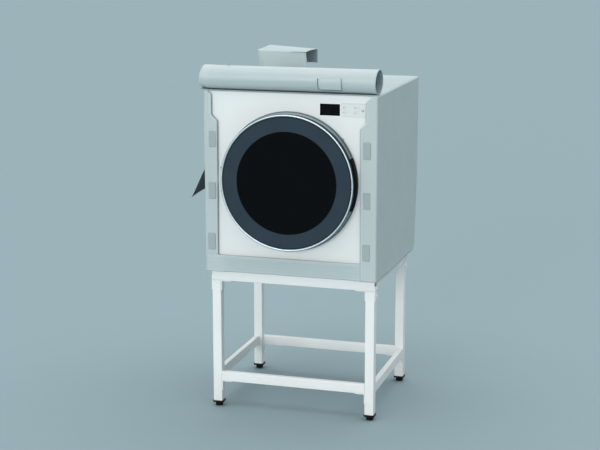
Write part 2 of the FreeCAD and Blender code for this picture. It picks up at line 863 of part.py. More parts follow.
# Bulkheads that carry the drum
filter_slot = block(mid("0", "filter_width + 2 * slip_fit"),
                    ("filter_front - slip_fit", "filter_back + slip_fit"),
                    ("axis_z - collar_radius - filter_frame", "axis_z - collar_radius / 2"))
bulkhead_sheet = sheet_metal(
    "XZ_Plane", "bulkhead_thick",
    [box_corners(mid("0", "2 * bulkhead_half"), ("floor_top", "flange_top"), "panel_corner")],
    [("0", "axis_z", "collar_bore")], y="bulkhead_front")
collar = turned([("collar_bore", "0"), ("collar_radius", "0"), ("collar_radius", "collar_length"),
                 ("collar_bore", "collar_length")], "0", "panel_back", "axis_z")
node("front_bulkhead", cut(fuse(bulkhead_sheet, collar), filter_slot))

air_holes = [("air_hole_circle * cos(%d)" % angle, "axis_z + air_hole_circle * sin(%d)" % angle,
              "air_hole_radius")
             for angle in range(30, 390, 60)]
elbow_hole = box_corners(("-blower_left - pass_gap", "-blower_left + blower_outlet + pass_gap"),
                         ("blower_top - pass_gap", "elbow_top + pass_gap"))
node("rear_bulkhead", sheet_metal(
    "XZ_Plane", "bulkhead_thick",
    [box_corners(mid("0", "2 * bulkhead_half"), ("floor_top", "flange_top"), "panel_corner")],
    [("0", "axis_z", "bearing_radius + slip_fit"), gas_hole, ("burner_side", "burner_z", "burner_mouth")]
    + air_holes + [elbow_hole], y="rear_front"))

# Drum; the wall's inner corners at the 45 degree shoulder lie this far along
SHOULDER_STEP = "drum_wall * tan(22.5)"
node("drum_shell", turned([
    ("drum_mouth", "0"), ("drum_radius - drum_shoulder", "0"), ("drum_radius", "drum_shoulder"),
    ("drum_radius", "drum_length"), ("drum_inner", "drum_length"),
    ("drum_inner", "drum_shoulder + " + SHOULDER_STEP),
    ("drum_radius - drum_shoulder - " + SHOULDER_STEP, "drum_wall"),
    ("drum_mouth + drum_wall", "drum_wall"), ("drum_mouth + drum_wall", "drum_lip"),
    ("drum_mouth", "drum_lip"),
], "0", "drum_front", "axis_z"))

back_body = doc.addObject("PartDesign::Body", label("drum_disc"))
disc_sketch = sketch_in(back_body, "XY_Plane")
ring(disc_sketch, "0", "0", "drum_inner - running_fit")
disc = back_body.newObject("PartDesign::Pad", label("pad"))
disc.Profile = disc_sketch
bind(disc, Length="drum_wall")
slot_sketch = sketch_in(back_body, "XY_Plane")
outline(slot_sketch, box_corners(mid("drum_slot_radius", "drum_slot_length"), mid("0", "drum_slot_width"),
                                 "drum_slot_width / 3"))
slot = back_body.newObject("PartDesign::Pocket", label("slot"))
slot.Profile = slot_sketch
slot.Type = "ThroughAll"
slot.Midplane = True
pattern_of(back_body, slot, "drum_slot_count")
node("drum_back", place(back_body, "0", "drum_plate", "axis_z", ALONG["y"]))


def wedge(inset):
    """Ridge that narrows towards the drum's axis, drawn in on all sides but its base."""
    made = doc.addObject("Part::Wedge", label("wedge"))
    base = "lifter_base / 2 - (%s)" % inset
    top = "lifter_top / 2 - (%s)" % inset
    slope = "lifter_height / 3"
    return bind(made, Xmin="-(%s)" % base, Xmax=base, X2min="-(%s)" % top, X2max=top,
                Ymin="0", Ymax="lifter_height - (%s)" % inset,
                Zmin=inset, Zmax="lifter_length - (%s)" % inset,
                Z2min=slope + " + (%s)" % inset, Z2max="lifter_length - %s - (%s)" % (slope, inset))


lifters = []
LIFTER_SEAT = "sqrt(drum_inner * drum_inner - lifter_base * lifter_base / 4) - hole_play"
for angle in (0, 120, 240):
    lifter = cut(wedge("0"), wedge("lifter_wall"))
    place(lifter, "(%s) * sin(%d)" % (LIFTER_SEAT, angle),
          "drum_front + (drum_plate - drum_front - lifter_length) / 2",
          "axis_z + (%s) * cos(%d)" % (LIFTER_SEAT, angle), Rotation(Vector(0, 1, 0), angle) * ALONG["y"])
    lifters.append(lifter)
node("drum_lifters", group(*lifters))

node("drum_shaft", turned([
    ("0", "0"), ("shaft_flange", "0"), ("shaft_flange", "shaft_flange_thick"),
    ("shaft_radius", "shaft_flange_thick"), ("shaft_radius", "shaft_length"), ("0", "shaft_length"),
], "0", "drum_plate + drum_wall", "axis_z"))

node("drum_bearing", turned([
    ("shaft_radius + running_fit", "0"), ("bearing_flange", "0"), ("bearing_flange", "bearing_flange_thick"),
    ("bearing_radius", "bearing_flange_thick"), ("bearing_radius", "bearing_length"),
    ("shaft_radius + running_fit", "bearing_length"),
], "0", "rear_front - bearing_flange_thick", "axis_z"))

node("drum_felt", turned([
    ("collar_radius + running_fit", "0"), ("drum_mouth - slip_fit", "0"),
    ("drum_mouth - slip_fit", "drum_lip"), ("collar_radius + running_fit", "drum_lip"),
], "0", "drum_front", "axis_z"))

# Motor, rotor and belt
motor_x = "-motor_side"
case = rod("y", "motor_radius", "motor_length", motor_x, "motor_front", "motor_z")
bells = rod("y", "motor_bell_radius", "motor_length + 2 * motor_bell", motor_x,
            "motor_front - motor_bell", "motor_z")
cradle_y = ("motor_front + cradle_inset", "motor_front + motor_length - cradle_inset")
cradle = cut(block(mid(motor_x, "motor_foot"), cradle_y, ("floor_top", "motor_z")),
             block(mid(motor_x, "motor_foot - 2 * cradle_wall"),
                   (cradle_y[0] + " - cut_over", cradle_y[1] + " + cut_over"),
                   ("floor_top + cradle_wall", "motor_z + cut_over")))
rotor_bore = rod("y", "rotor_radius + running_fit", "rotor_length", motor_x, "rotor_front", "motor_z")
node("motor", cut(fuse(case, bells, cradle), rotor_bore))

node("motor_shaft", turned([
    ("0", "0"), ("rotor_radius", "0"), ("rotor_radius", "pulley_start"), ("pulley_flange", "pulley_start"),
    ("pulley_flange", "pulley_start + pulley_cheek"), ("pulley_radius", "pulley_start + pulley_cheek"),
    ("pulley_radius", "pulley_end - pulley_cheek"), ("pulley_flange", "pulley_end - pulley_cheek"),
    ("pulley_flange", "pulley_end"), ("rotor_radius", "pulley_end"),
    ("rotor_radius", "rotor_length"), ("0", "rotor_length"),
], motor_x, "rotor_front", "motor_z"))


def band_face(grow):
    """Face inside an open belt round drum and pulley, both radii grown by the same amount."""
    big = Vector(0, 0, number("axis_z"))
    small = Vector(number(motor_x), 0, number("motor_z"))
    big_radius = number("drum_radius + slip_fit") + grow
    small_radius = number("pulley_radius + slip_fit") + grow
    line = big - small
    lean = math.atan2(line.z, line.x)
    spread = math.acos((small_radius - big_radius) / line.Length)
    spots = []
    for centre, radius in ((small, small_radius), (big, big_radius)):
        for turn in (spread, -spread):
            spots.append(centre + Vector(math.cos(lean + turn), 0, math.sin(lean + turn)) * radius)
    small_left, small_right, big_left, big_right = spots
    ahead = Vector(math.cos(lean), 0, math.sin(lean))
    edges = [
        Part.makeLine(small_left, big_left),
        Part.Arc(big_left, big + ahead * big_radius, big_right).toShape(),
        Part.makeLine(big_right, small_right),
        Part.Arc(small_right, small - ahead * small_radius, small_left).toShape(),
    ]
    return Part.Face(Part.Wire(edges))


belt_sweep = Vector(0, number("belt_width"), 0)
belt = band_face(number("belt_thick")).extrude(belt_sweep).cut(band_face(0).extrude(belt_sweep))
belt_node = solid(belt)
belt_node.Placement.Base = Vector(0, number("belt_y - belt_width / 2"), 0)
node("drum_belt", belt_node)

# Blower and air ducts
outlet_x = ("-blower_left", "-blower_left + blower_outlet")
scroll = fuse(rod("y", "blower_radius", "blower_back - blower_front", motor_x, "blower_front", "motor_z"),
              block(outlet_x, ("blower_front", "blower_back"), ("motor_z", "blower_top")))
scroll_room = fuse(
    rod("y", "blower_radius - duct_wall", "blower_back - blower_front - 2 * duct_wall", motor_x,
        "blower_front + duct_wall", "motor_z"),
    block(("-blower_left + duct_wall", "-blower_left + blower_outlet - duct_wall"),
          ("blower_front + duct_wall", "blower_back - duct_wall"), ("motor_z", "blower_top + cut_over")))
inlet = rod("y", "blower_inlet", "duct_wall + 2 * cut_over", motor_x, "blower_front - cut_over", "motor_z")
node("blower_housing", cut(scroll, scroll_room, inlet))

wheel_body = doc.addObject("PartDesign::Body", label("wheel"))
hub_sketch = sketch_in(wheel_body, "XZ_Plane")
outline(hub_sketch, [
    ("rotor_radius", "wheel_width - wheel_hub_length"), ("wheel_hub", "wheel_width - wheel_hub_length"),
    ("wheel_hub", "wheel_width - wheel_disc"), ("wheel_radius", "wheel_width - wheel_disc"),
    ("wheel_radius", "wheel_width"), ("rotor_radius", "wheel_width")])
hub = wheel_body.newObject("PartDesign::Revolution", label("revolution"))
hub.Profile = hub_sketch
hub.ReferenceAxis = (hub_sketch, ["V_Axis"])
blade_sketch = sketch_in(wheel_body, "XY_Plane")
outline(blade_sketch, box_corners(("wheel_radius - wheel_blade_depth", "wheel_radius - hole_play"),
                                  mid("0", "wheel_blade_thick")))
blade = wheel_body.newObject("PartDesign::Pad", label("blade"))
blade.Profile = blade_sketch
bind(blade, Length="wheel_width - wheel_disc / 2")
pattern_of(wheel_body, blade, "wheel_blades")
node("blower_wheel", place(wheel_body, motor_x, "blower_front + wheel_gap", "motor_z", ALONG["y"]))


def shrunk(bounds, low=1, high=1):
    """Bounds drawn in by the duct wall, or let through where the factor is negative."""
    return ("%s + %d * duct_wall" % (bounds[0], low), "%s - %d * duct_wall" % (bounds[1], high))


elbow_y = ("blower_front", "back_inner")
elbow_z = ("blower_top", "elbow_top")
riser_x = ("-blower_left", "-blower_left + riser_width")
riser_y = ("rear_back", "back_inner")
riser_z = ("blower_top", "riser_top")
spigot = rod("y", "exhaust_radius", "back_thick + exhaust_run", "-exhaust_side", "back_inner", "exhaust_z")
spigot_bore = rod("y", "exhaust_radius - exhaust_wall", "2 * duct_wall + back_thick + exhaust_run + cut_over",
                  "-exhaust_side", "back_inner - 2 * duct_wall", "exhaust_z")
node("exhaust_duct", cut(
    fuse(block(outlet_x, elbow_y, elbow_z), block(riser_x, riser_y, riser_z), spigot),
    block(shrunk(outlet_x), ("blower_front + duct_wall", "rear_back + 2 * duct_wall"),
          ("blower_top - cut_over", "elbow_top - duct_wall")),
    block(shrunk(riser_x), shrunk(riser_y), shrunk(riser_z)),
    block(shrunk(outlet_x), ("rear_front", "rear_back + 2 * duct_wall"), shrunk(elbow_z)),
    spigot_bore))


def bent_pipe(radius, inner, run, rise, x, y, z, bend):
    """Pipe along +Y for a run, a quarter bend up or down, then straight along Z for a rise."""
    upward = number(rise) > 0
    limbs = []
    for size in (radius, inner):
        along = rod("y", size, run, x, y, z)
        elbow = doc.addObject("Part::Torus", label("elbow"))
        bind(elbow, Radius1=bend, Radius2=size)
        elbow.Angle3 = 90
        lift = "%s + %s" % (z, bend) if upward else "%s - %s" % (z, bend)
        turn = Rotation(Vector(0, 1, 0), Vector(0, 0, 1), Vector(1, 0, 0)) if not upward else \
            Rotation(Vector(0, 0, -1), Vector(0, 1, 0), Vector(1, 0, 0))
        place(elbow, x, "%s + %s" % (y, run), lift, turn)
        height = "abs(%s)" % rise
        start = lift if upward else "%s - abs(%s)" % (lift, rise)
        upright = rod("z", size, height, x, "%s + %s + %s" % (y, run, bend), start)
        limbs.append(fuse(along, elbow, upright))
    return cut(limbs[0], limbs[1])


node("exhaust_pipe", bent_pipe(
    "pipe_radius", "pipe_radius - exhaust_wall", "exhaust_run",
    "exhaust_top - exhaust_z - exhaust_bend", "-exhaust_side", "back_outer", "exhaust_z", "exhaust_bend"))

chute_y = ("bulkhead_back", "filter_back + filter_gap + duct_wall")
chute = block(mid("0", "filter_duct_width"), chute_y, ("floor_top", "axis_z - collar_radius + chute_rise"))
floor_x = ("-floor_duct_left", "-floor_duct_right")
floor_y = ("bulkhead_back", "blower_front")
floor_z = ("floor_top", "floor_top + floor_duct_height")
plenum_x = ("-blower_left", "-blower_left + plenum_width")
plenum_y = ("blower_front - plenum_depth", "blower_front")
plenum_z = ("floor_top", "floor_top + plenum_height")
link_x = ("-blower_left + plenum_width - 2 * duct_wall", "-floor_duct_right")
collar_space = rod("y", "collar_radius + slip_fit", "body_depth", "0", "panel_back", "axis_z")
shaft_gap = rod("y", "rotor_radius + rotor_gap", "plenum_depth + 2 * cut_over", motor_x,
                "blower_front - plenum_depth - cut_over", "motor_z")
plenum_mouth = rod("y", "blower_inlet", "plenum_depth", motor_x, "blower_front - plenum_depth / 2", "motor_z")
duct_room = fuse(
    block(mid("0", "filter_duct_width - 2 * duct_wall"), shrunk(chute_y),
          ("floor_top + duct_wall", "axis_z")),
    block(shrunk(floor_x), shrunk(floor_y), shrunk(floor_z)),
    block(shrunk(plenum_x), shrunk(plenum_y), shrunk(plenum_z)),
    block(shrunk(link_x, low=-1), shrunk(plenum_y), shrunk(floor_z)))
node("filter_duct", cut(
    fuse(chute, block(floor_x, floor_y, floor_z), block(plenum_x, plenum_y, plenum_z),
         block(link_x, plenum_y, floor_z)),
    duct_room, collar_space, shaft_gap, plenum_mouth))

screen_x = mid("0", "filter_width")
filter_low = "axis_z - collar_radius - filter_depth"
mesh_z = (filter_low + " + filter_frame", "axis_z - collar_radius - filter_frame")
tray = block(screen_x, ("filter_front", "filter_back"), (filter_low, "axis_z - collar_radius + filter_rise"))
pockets = []
for span in (("-filter_width / 2 + filter_frame", "-filter_frame / 2"),
             ("filter_frame / 2", "filter_width / 2 - filter_frame")):
    for depth in (("filter_front - cut_over", "filter_front + (filter_thick - filter_screen) / 2"),
                  ("filter_back - (filter_thick - filter_screen) / 2", "filter_back + cut_over")):
        pockets.append(block(span, depth, mesh_z))
node("lint_filter", cut(tray, rod("y", "collar_bore", "body_depth", "0", "panel_back", "axis_z"), *pockets))

# Gas train
node("burner", turned([
    ("burner_mouth - burner_wall", "0"), ("burner_mouth", "0"), ("burner_throat", "burner_waist"),
    ("burner_throat + burner_swell", "burner_length - burner_head"),
    ("burner_throat + burner_swell", "burner_length - burner_flange_thick"),
    ("burner_flange", "burner_length - burner_flange_thick"), ("burner_flange", "burner_length"),
    ("burner_throat + burner_swell - burner_wall", "burner_length"),
    ("burner_throat + burner_swell - burner_wall", "burner_length - burner_head"),
    ("burner_throat - burner_wall", "burner_waist"),
], "burner_side", "rear_front - burner_length", "burner_z"))

arm_x = ("burner_side - heat_arm_width / 2", "burner_side + heat_arm_width / 2")
arm_z = ("burner_z - heat_arm_under", "axis_z")
bridge_z = ("axis_z - heat_arm_height", "axis_z")
heat_room_y = ("rear_back - cut_over", "back_inner - duct_wall")
node("heat_duct", cut(
    fuse(rod("y", "heat_radius", "back_inner - rear_back", "0", "rear_back", "axis_z"),
         block(arm_x, riser_y, arm_z), block(("0", arm_x[1]), riser_y, bridge_z)),
    fuse(rod("y", "heat_radius - duct_wall", "back_inner - rear_back - duct_wall + cut_over", "0",
             "rear_back - cut_over", "axis_z"),
         block(shrunk(arm_x), heat_room_y, shrunk(arm_z)),
         block(("0", arm_x[1] + " - duct_wall"), heat_room_y, shrunk(bridge_z)))))

valve = block(mid("valve_side", "valve_width"), ("valve_front", "valve_front + valve_length"),
              ("floor_top", "valve_z + valve_width / 2"))
coil = rod("z", "coil_radius", "coil_height", "valve_side", "valve_front + valve_length / 2",
           "valve_z + valve_width / 2")
feed = block(("burner_side - orifice_radius", "valve_side"), ("valve_front", "jet_y"),
             ("burner_z - 2 * orifice_radius", "burner_z"))
jet = rod("y", "orifice_radius", "2 * orifice_radius", "burner_side", "jet_y", "burner_z - orifice_radius")
node("gas_valve", fuse(valve, coil, feed, jet))

gas_line = bent_pipe("gas_radius", "gas_radius - gas_wall", "gas_y - gas_bend - gas_start",
                     "-gas_drop", "valve_side", "gas_start", "valve_z", "gas_bend")
nipple = turned([
    ("nipple_bore", "-nipple_length"), ("nipple_radius", "-nipple_length"), ("nipple_radius", "0"),
    ("gas_radius", "0"), ("gas_radius", "gas_wall"), ("nipple_bore", "gas_wall"),
], "valve_side", "gas_y", "nipple_top", axis="z")
node("gas_pipe", fuse(gas_line, nipple))

# Control strip, display, keys and board
strip_x = ("strip_left", "strip_left + strip_width")


def key_place(column, rise):
    return "strip_left + " + column, "strip_z" if rise == "0" else "strip_z " + rise


KEYS = {
    "key_up": key_place("arrow_key_column", "+ arrow_key_gap / 2") + ("arrow_key_side", "arrow_key_side"),
    "key_down": key_place("arrow_key_column", "- arrow_key_gap / 2") + ("arrow_key_side", "arrow_key_side"),
    "key_course": key_place("word_key_column", "+ word_key_gap / 2") + ("word_key_width", "word_key_height"),
    "key_start": key_place("word_key_column", "- word_key_gap / 2") + ("word_key_width", "word_key_height"),
}
power_x, power_z = key_place("power_key_column", "0")
key_holes = [box_corners(mid(x, width + " + 2 * slip_fit"), mid(z, tall + " + 2 * slip_fit"),
                         "key_round + slip_fit")
             for x, z, width, tall in KEYS.values()]
key_holes.append((power_x, power_z, "power_key_radius + slip_fit"))
display_x = ("strip_left + display_left", "strip_left + display_left + display_width")
window_hole = box_corners((display_x[0] + " + display_ledge", display_x[1] + " - display_ledge"),
                          mid("strip_z", "display_height - 2 * display_ledge"))
strip_plate = sheet_metal("XZ_Plane", "strip_thick",
                          [box_corners(strip_x, mid("strip_z", "strip_height"), "strip_round")],
                          key_holes + [window_hole], y="strip_front")
display_pocket = block((display_x[0] + " - hole_play", display_x[1] + " + hole_play"),
                       ("strip_front - cut_over", "strip_front + display_depth"),
                       mid("strip_z", "display_height + 2 * hole_play"))
posts = [rod("y", "post_radius", "board_front - strip_back", x, "strip_back", z)
         for x in ("strip_left + post_inset", "strip_left + strip_width - post_inset")
         for z in ("strip_z - strip_height / 2 + post_inset", "strip_z + strip_height / 2 - post_inset")]
node("control_strip", fuse(cut(strip_plate, display_pocket), *posts))
node("display_window", block(display_x, ("strip_front", "strip_front + display_depth"),
                             mid("strip_z", "display_height")))
node("control_board", block(strip_x, ("board_front", "board_front + board_thick"),
                            mid("strip_z", "strip_height")))

for name, (x, z, width, tall) in KEYS.items():
    cap = sheet_metal("XZ_Plane", "key_length", [box_corners(mid(x, width), mid(z, tall), "key_round")],
                      y="key_front")
    skirt = block(mid(x, width + " + 2 * key_flange"), ("key_flange_y", "key_flange_y + key_flange_thick"),
                  mid(z, tall + " + 2 * key_flange"))
    node(name, fuse(cap, skirt))
node("key_power", fuse(rod("y", "power_key_radius", "key_length", power_x, "key_front", power_z),
                       rod("y", "power_key_radius + key_flange", "key_flange_thick", power_x, "key_flange_y",
                           power_z)))

# Door
rim_profile = [
    ("frame_inner", "seat"), ("glass_radius", "seat"), ("glass_radius", "trim_depth"),
    ("frame_wall_radius", "trim_depth"), ("frame_wall_radius", "rim_front"),
    ("rim_radius - rim_slope", "rim_front"), ("rim_radius", "rim_front + rim_slope"),
    ("rim_radius", "door_back - rim_edge"), ("rim_radius - rim_edge", "door_back"),
    ("frame_wall_inner", "door_back"), ("frame_wall_inner", "web_back"), ("frame_inner", "web_back"),
]
rim = turned(rim_profile, "0", "door_front", "axis_z")
grip_space = turned([
    ("grip_floor", "trim_depth"), ("rim_radius + cut_over", "trim_depth"),
    ("rim_radius + cut_over", "door_proud"), ("grip_floor", "door_proud"),
], "0", "door_front", "axis_z", sweep="grip_sweep + hole_play")
hinge_notch = block(("-rim_radius - cut_over", "-frame_wall_radius + slip_fit"),
                    ("door_front + rim_front - pass_gap", "panel_front"), mid("axis_z", "2 * lug_start"))
lugs = []
for side in (-1, 1):
    lug_z = "axis_z + %d * (lug_start + hinge_lug / 2)" % side
    lugs.append(block(("-hinge_reach - hinge_knuckle", "-frame_wall_radius + frame_wall / 2"),
                      mid("hinge_y", "2 * hinge_knuckle"), mid(lug_z, "hinge_lug")))
pin_length = "2 * lug_start + 2 * hinge_lug"
pin_bore = rod("z", "hinge_pin_radius + running_fit", pin_length + " + 2 * cut_over", "-hinge_reach",
               "hinge_y", "pin_low - cut_over")
node("door_frame", cut(fuse(cut(rim, grip_space, hinge_notch), *lugs), pin_bore))

node("door_trim_ring", turned([
    ("glass_radius + hole_play", "0", "edge_round"), ("trim_radius", "0", "trim_round"),
    ("trim_radius", "trim_depth", "edge_round"), ("glass_radius + hole_play", "trim_depth"),
], "0", "door_front", "axis_z"))
node("door_glass", turned([
    ("0", "glass_inset"), ("glass_radius", "glass_inset", "edge_round"),
    ("glass_radius", "seat"), ("0", "seat"),
], "0", "door_front", "axis_z"))
node("door_bowl", turned([
    ("0", "bowl_back - bowl_wall"),
    ("bowl_floor_radius - bowl_wall", "bowl_back - bowl_wall", "bowl_round - bowl_wall"),
    ("bowl_radius - bowl_wall", "web_back"), ("frame_wall_inner - pass_gap", "web_back"),
    ("frame_wall_inner - pass_gap", "web_back + bowl_flange"),
    ("bowl_radius", "web_back + bowl_flange"), ("bowl_floor_radius", "bowl_back", "bowl_round"),
    ("0", "bowl_back"),
], "0", "door_front", "axis_z"))
node("door_grip", turned([
    ("grip_floor + slip_fit", "trim_depth"), ("trim_radius - edge_round", "trim_depth"),
    ("trim_radius - edge_round", "trim_depth + grip_wall"),
    ("grip_floor + grip_wall", "trim_depth + grip_wall", "grip_round"),
    ("grip_floor + grip_wall", "door_back - grip_lip - grip_slope", "grip_round"),
    ("rim_radius", "door_back - grip_lip"), ("rim_radius", "door_back"),
    ("grip_floor + slip_fit", "door_back"),
], "0", "door_front", "axis_z", sweep="grip_sweep"))

arm = block(mid("-hinge_reach", "hinge_arm"), ("hinge_y", "panel_back + hinge_plate_thick"),
            mid("axis_z", "hinge_height"))
knuckle = rod("z", "hinge_knuckle", "hinge_height", "-hinge_reach", "hinge_y", "axis_z - hinge_height / 2")
hinge_plate = block(("-hinge_reach - hinge_arm / 2", "-hinge_reach + hinge_plate_width - hinge_arm / 2"),
                    ("panel_back", "panel_back + hinge_plate_thick"),
                    mid("axis_z", "hinge_height + 2 * hinge_plate_ear"))
node("hinge_bracket", cut(fuse(arm, knuckle, hinge_plate), pin_bore))
node("hinge_pin", rod("z", "hinge_pin_radius", pin_length, "-hinge_reach", "hinge_y", "pin_low"))
latch_x = mid("latch_side", "latch_width")
latch_z = mid("axis_z + latch_rise", "latch_height")
tongue = block(latch_x, ("latch_y", "latch_y + latch_reach"), latch_z)
notch = block(mid("latch_side", "2 * latch_width"),
              ("latch_y + latch_reach - latch_hook - latch_notch", "latch_y + latch_reach - latch_hook"),
              ("axis_z + latch_rise + latch_height / 4", "axis_z + latch_rise + latch_height"))
node("door_latch", cut(tongue, notch))

# Weather cover
cover_y = ("cover_front_y", "cover_back_y")
pipe_hole = rod("z", "pipe_radius + pipe_gap", "cloth + 2 * cut_over", "-exhaust_side", "exhaust_y",
                "cover_under - cut_over")
node("cover_top", cut(block(mid("0", "cover_width"), cover_y, ("cover_under", "cover_top_z")), pipe_hole))

wall = [("cover_front_y", "hem_front"), ("back_hem_y", "hem_back", "hem_round"),
        ("cover_back_y", "back_fold_z", "back_fold_round"), ("cover_back_y", "cover_under"),
        ("cover_front_y", "cover_under")]
vent = box_corners(("-flap_front + vent_inset", "-flap_front + flap_width - vent_inset"),
                   ("flap_level - vent_inset - vent_height", "flap_level - vent_inset"))
node("cover_left", sheet_metal("YZ_Plane", "cloth", [wall], [vent], x="-half_cover"))
node("cover_right", sheet_metal("YZ_Plane", "cloth", [wall], x="half_cover - cloth"))
node("cover_back", sheet_metal("YZ_Plane", "cover_width - 2 * cloth", [[
    ("back_low_y", "back_low_z"), ("cover_back_y", "back_fold_z", "back_fold_round"),
    ("cover_back_y", "cover_under"), ("cover_back_y - cloth", "cover_under"),
    ("cover_back_y - cloth", "back_fold_z", "back_fold_round"), ("back_low_y - cloth", "back_low_z"),
]], x="-half_cover + cloth"))
left_low = "-half_cover + left_strip"
left_high = "-half_cover + left_strip_top"
right_low = "half_cover - right_strip"
right_high = "half_cover - right_strip_top"
node("cover_front", sheet_metal("XZ_Plane", "cloth", [[
    ("-half_cover + cloth", "skirt_low"), ("half_cover - cloth", "skirt_low"),
    ("half_cover - cloth", "cover_under"), ("half_cover - right_corner_edge", "cover_under"),
    (right_high, "cover_under - right_corner_drop"), (right_high, "right_step_high"),
    (right_low, "right_step_low"), (right_low, "skirt_top"), (left_low, "skirt_top"),
    (left_low, "left_step_low"), (left_high, "left_step_high"),
    (left_high, "cover_under - left_corner_drop"), ("-half_cover + left_corner_edge", "cover_under"),
    ("-half_cover + cloth", "cover_under")]], y="cover_front_y"))

tapes = []
for centre in ("-tape_left", "tape_right"):
    for step in range(3):
        tapes.append(block(mid(centre, "tape_width"), ("cover_front_y - tape_thick", "cover_front_y"),
                           mid("tape_low + %d * tape_pitch" % step, "tape_height")))
node("hook_tapes", group(*tapes))


def roll_section():
    """Section of the rolled flap: half circles whose radii shrink by half a pitch each half turn.

    It starts under the roll at the front seam, lies on the top, and winds back, up and forward.
    """
    centre = Vector(0, number("roll_y"), number("roll_z"))
    step = number("roll_pitch") / 2
    thick = number("cloth")
    outer = []
    inner = []
    radius = number("roll_radius")
    middle = centre
    for turn in range(SIZES["roll_half_turns"]):
        side = 1 if turn % 2 == 0 else -1
        for edges, size in ((outer, radius), (inner, radius - thick)):
            begin = middle + Vector(0, 0, -side * size)
            over = middle + Vector(0, side * size, 0)
            finish = middle + Vector(0, 0, side * size)
            edges.append(Part.Arc(begin, over, finish).toShape())
        middle = middle + Vector(0, 0, side * step)
        radius -= step
    start = centre + Vector(0, 0, -number("roll_radius"))
    seam = Vector(0, number("cover_front_y"), start.z)
    lift = Vector(0, 0, thick)
    tail = [Part.makeLine(seam, start), Part.makeLine(seam + lift, start + lift)]
    closing = Part.makeLine(outer[-1].Vertexes[-1].Point, inner[-1].Vertexes[-1].Point)
    edges = [tail[0]] + outer + [closing] + inner[::-1] + [tail[1], Part.makeLine(seam + lift, seam)]
    return Part.Face(Part.Wire(Part.__sortEdges__(edges)))


roll = solid(roll_section().extrude(Vector(number("roll_left + roll_right"), 0, 0)))
roll.Placement.Base = Vector(-number("roll_left"), 0, 0)
node("cover_roll", roll)

hood_outer = [("-hood_left", "cover_top_z"), ("-hood_right", "cover_top_z"),
              ("-hood_right", "hood_top_right"), ("-hood_left", "hood_top_left")]
hood_end = "-hood_right + cut_over"
hood_inner = [("-hood_left + cloth", "cover_under"), (hood_end, "cover_under"),
              (hood_end, "hood_top_right - cloth"), ("-hood_left + cloth", "hood_top_left - cloth")]
hood_gap = block(("-hood_left + cloth", hood_end), ("cover_back_y - 2 * cloth", "cover_back_y + cut_over"),
                 ("cover_under", "hood_back_low"))
node("exhaust_hood", cut(
    sheet_metal("XZ_Plane", "hood_depth", [hood_outer], y="hood_front"),
    sheet_metal("XZ_Plane", "hood_depth - 2 * cloth", [hood_inner], y="hood_front + cloth"), hood_gap))

flap = fuse(block(mid("0", "cloth"), ("0", "flap_width"), ("-flap_length", "0")),
            rod("y", "flap_bead", "flap_width", "0", "0", "0"))
place(flap, "flap_x", "-flap_front", "flap_level", Rotation(Vector(0, 1, 0), SIZES["flap_angle"]))
flap.setExpression("Placement.Rotation.Angle", names("flap_angle"))
node("side_flap", flap)

# Check every form, then write one file for each piece
doc.recompute()
for item in doc.Objects:
    if "Invalid" in item.State or "Error" in item.State:
        raise RuntimeError("%s: %s" % (item.Label, item.State))
os.makedirs("parts", exist_ok=True)
for name, item in parts.items():
    if item.Shape.isNull() or not item.Shape.isValid():
        raise RuntimeError("%s has no valid form" % name)
    item.Shape.exportStep("parts/%s.step" % name)
print("%d pieces, roll gap %.2f mm" % (len(parts), number("roll_pitch - cloth")))
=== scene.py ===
"""Looks of a gas tumble dryer in a weather cover, standing on a white steel stand.

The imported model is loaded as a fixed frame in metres: X to the viewer's right, Y to the back, Z up and the
floor at zero. The solids keep their shapes and get their finishes here. The sewn cover, its rolled flap,
hood, side flap and tapes are cloth surfaces that stand for plain solids.
"""

import json
import math

import bpy
import numpy as np
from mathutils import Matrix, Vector


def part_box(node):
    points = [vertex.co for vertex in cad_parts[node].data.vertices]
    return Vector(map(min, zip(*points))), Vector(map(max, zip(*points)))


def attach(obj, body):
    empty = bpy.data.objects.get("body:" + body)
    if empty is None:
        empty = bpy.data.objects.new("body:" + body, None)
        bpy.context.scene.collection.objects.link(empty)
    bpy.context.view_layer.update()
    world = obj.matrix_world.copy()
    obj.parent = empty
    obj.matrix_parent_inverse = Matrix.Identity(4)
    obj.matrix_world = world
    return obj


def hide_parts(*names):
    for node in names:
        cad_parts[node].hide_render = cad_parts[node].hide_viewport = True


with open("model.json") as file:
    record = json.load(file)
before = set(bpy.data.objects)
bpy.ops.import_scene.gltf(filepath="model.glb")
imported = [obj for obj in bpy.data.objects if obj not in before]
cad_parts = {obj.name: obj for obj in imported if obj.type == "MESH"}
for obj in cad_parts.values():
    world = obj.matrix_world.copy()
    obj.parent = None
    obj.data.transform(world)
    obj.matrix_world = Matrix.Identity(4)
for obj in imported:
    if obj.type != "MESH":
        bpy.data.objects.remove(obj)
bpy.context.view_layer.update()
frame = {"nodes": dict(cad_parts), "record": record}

bl_info = {
    "name": "Covered Dryer Looks",
    "version": (1, 0, 0),
    "blender": (4, 5, 0),
    "location": "View3D > Sidebar > Dryer",
    "description": "Finishes, sewn cover and studio for the dryer on its stand",
    "category": "Object",
}

MM = 0.001
QUARTER = math.pi / 2
CIRCLE = 2 * math.pi
SLOT_OF = {row["node"]: row["material_slot"] for row in frame["record"]["subparts"]}


def low(node):
    """Lowest corner of a solid, in metres."""
    return [float(value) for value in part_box(node)[0]]


def high(node):
    """Highest corner of a solid, in metres."""
    return [float(value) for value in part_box(node)[1]]


def shown(red, green, blue):
    """Linear colour of a screen colour, by the usual screen curve."""
    values = np.array([red, green, blue])
    curve = np.where(values <= 0.04045, values / 12.92, ((values + 0.055) / 1.055) ** 2.4)
    return tuple(float(value) for value in curve)


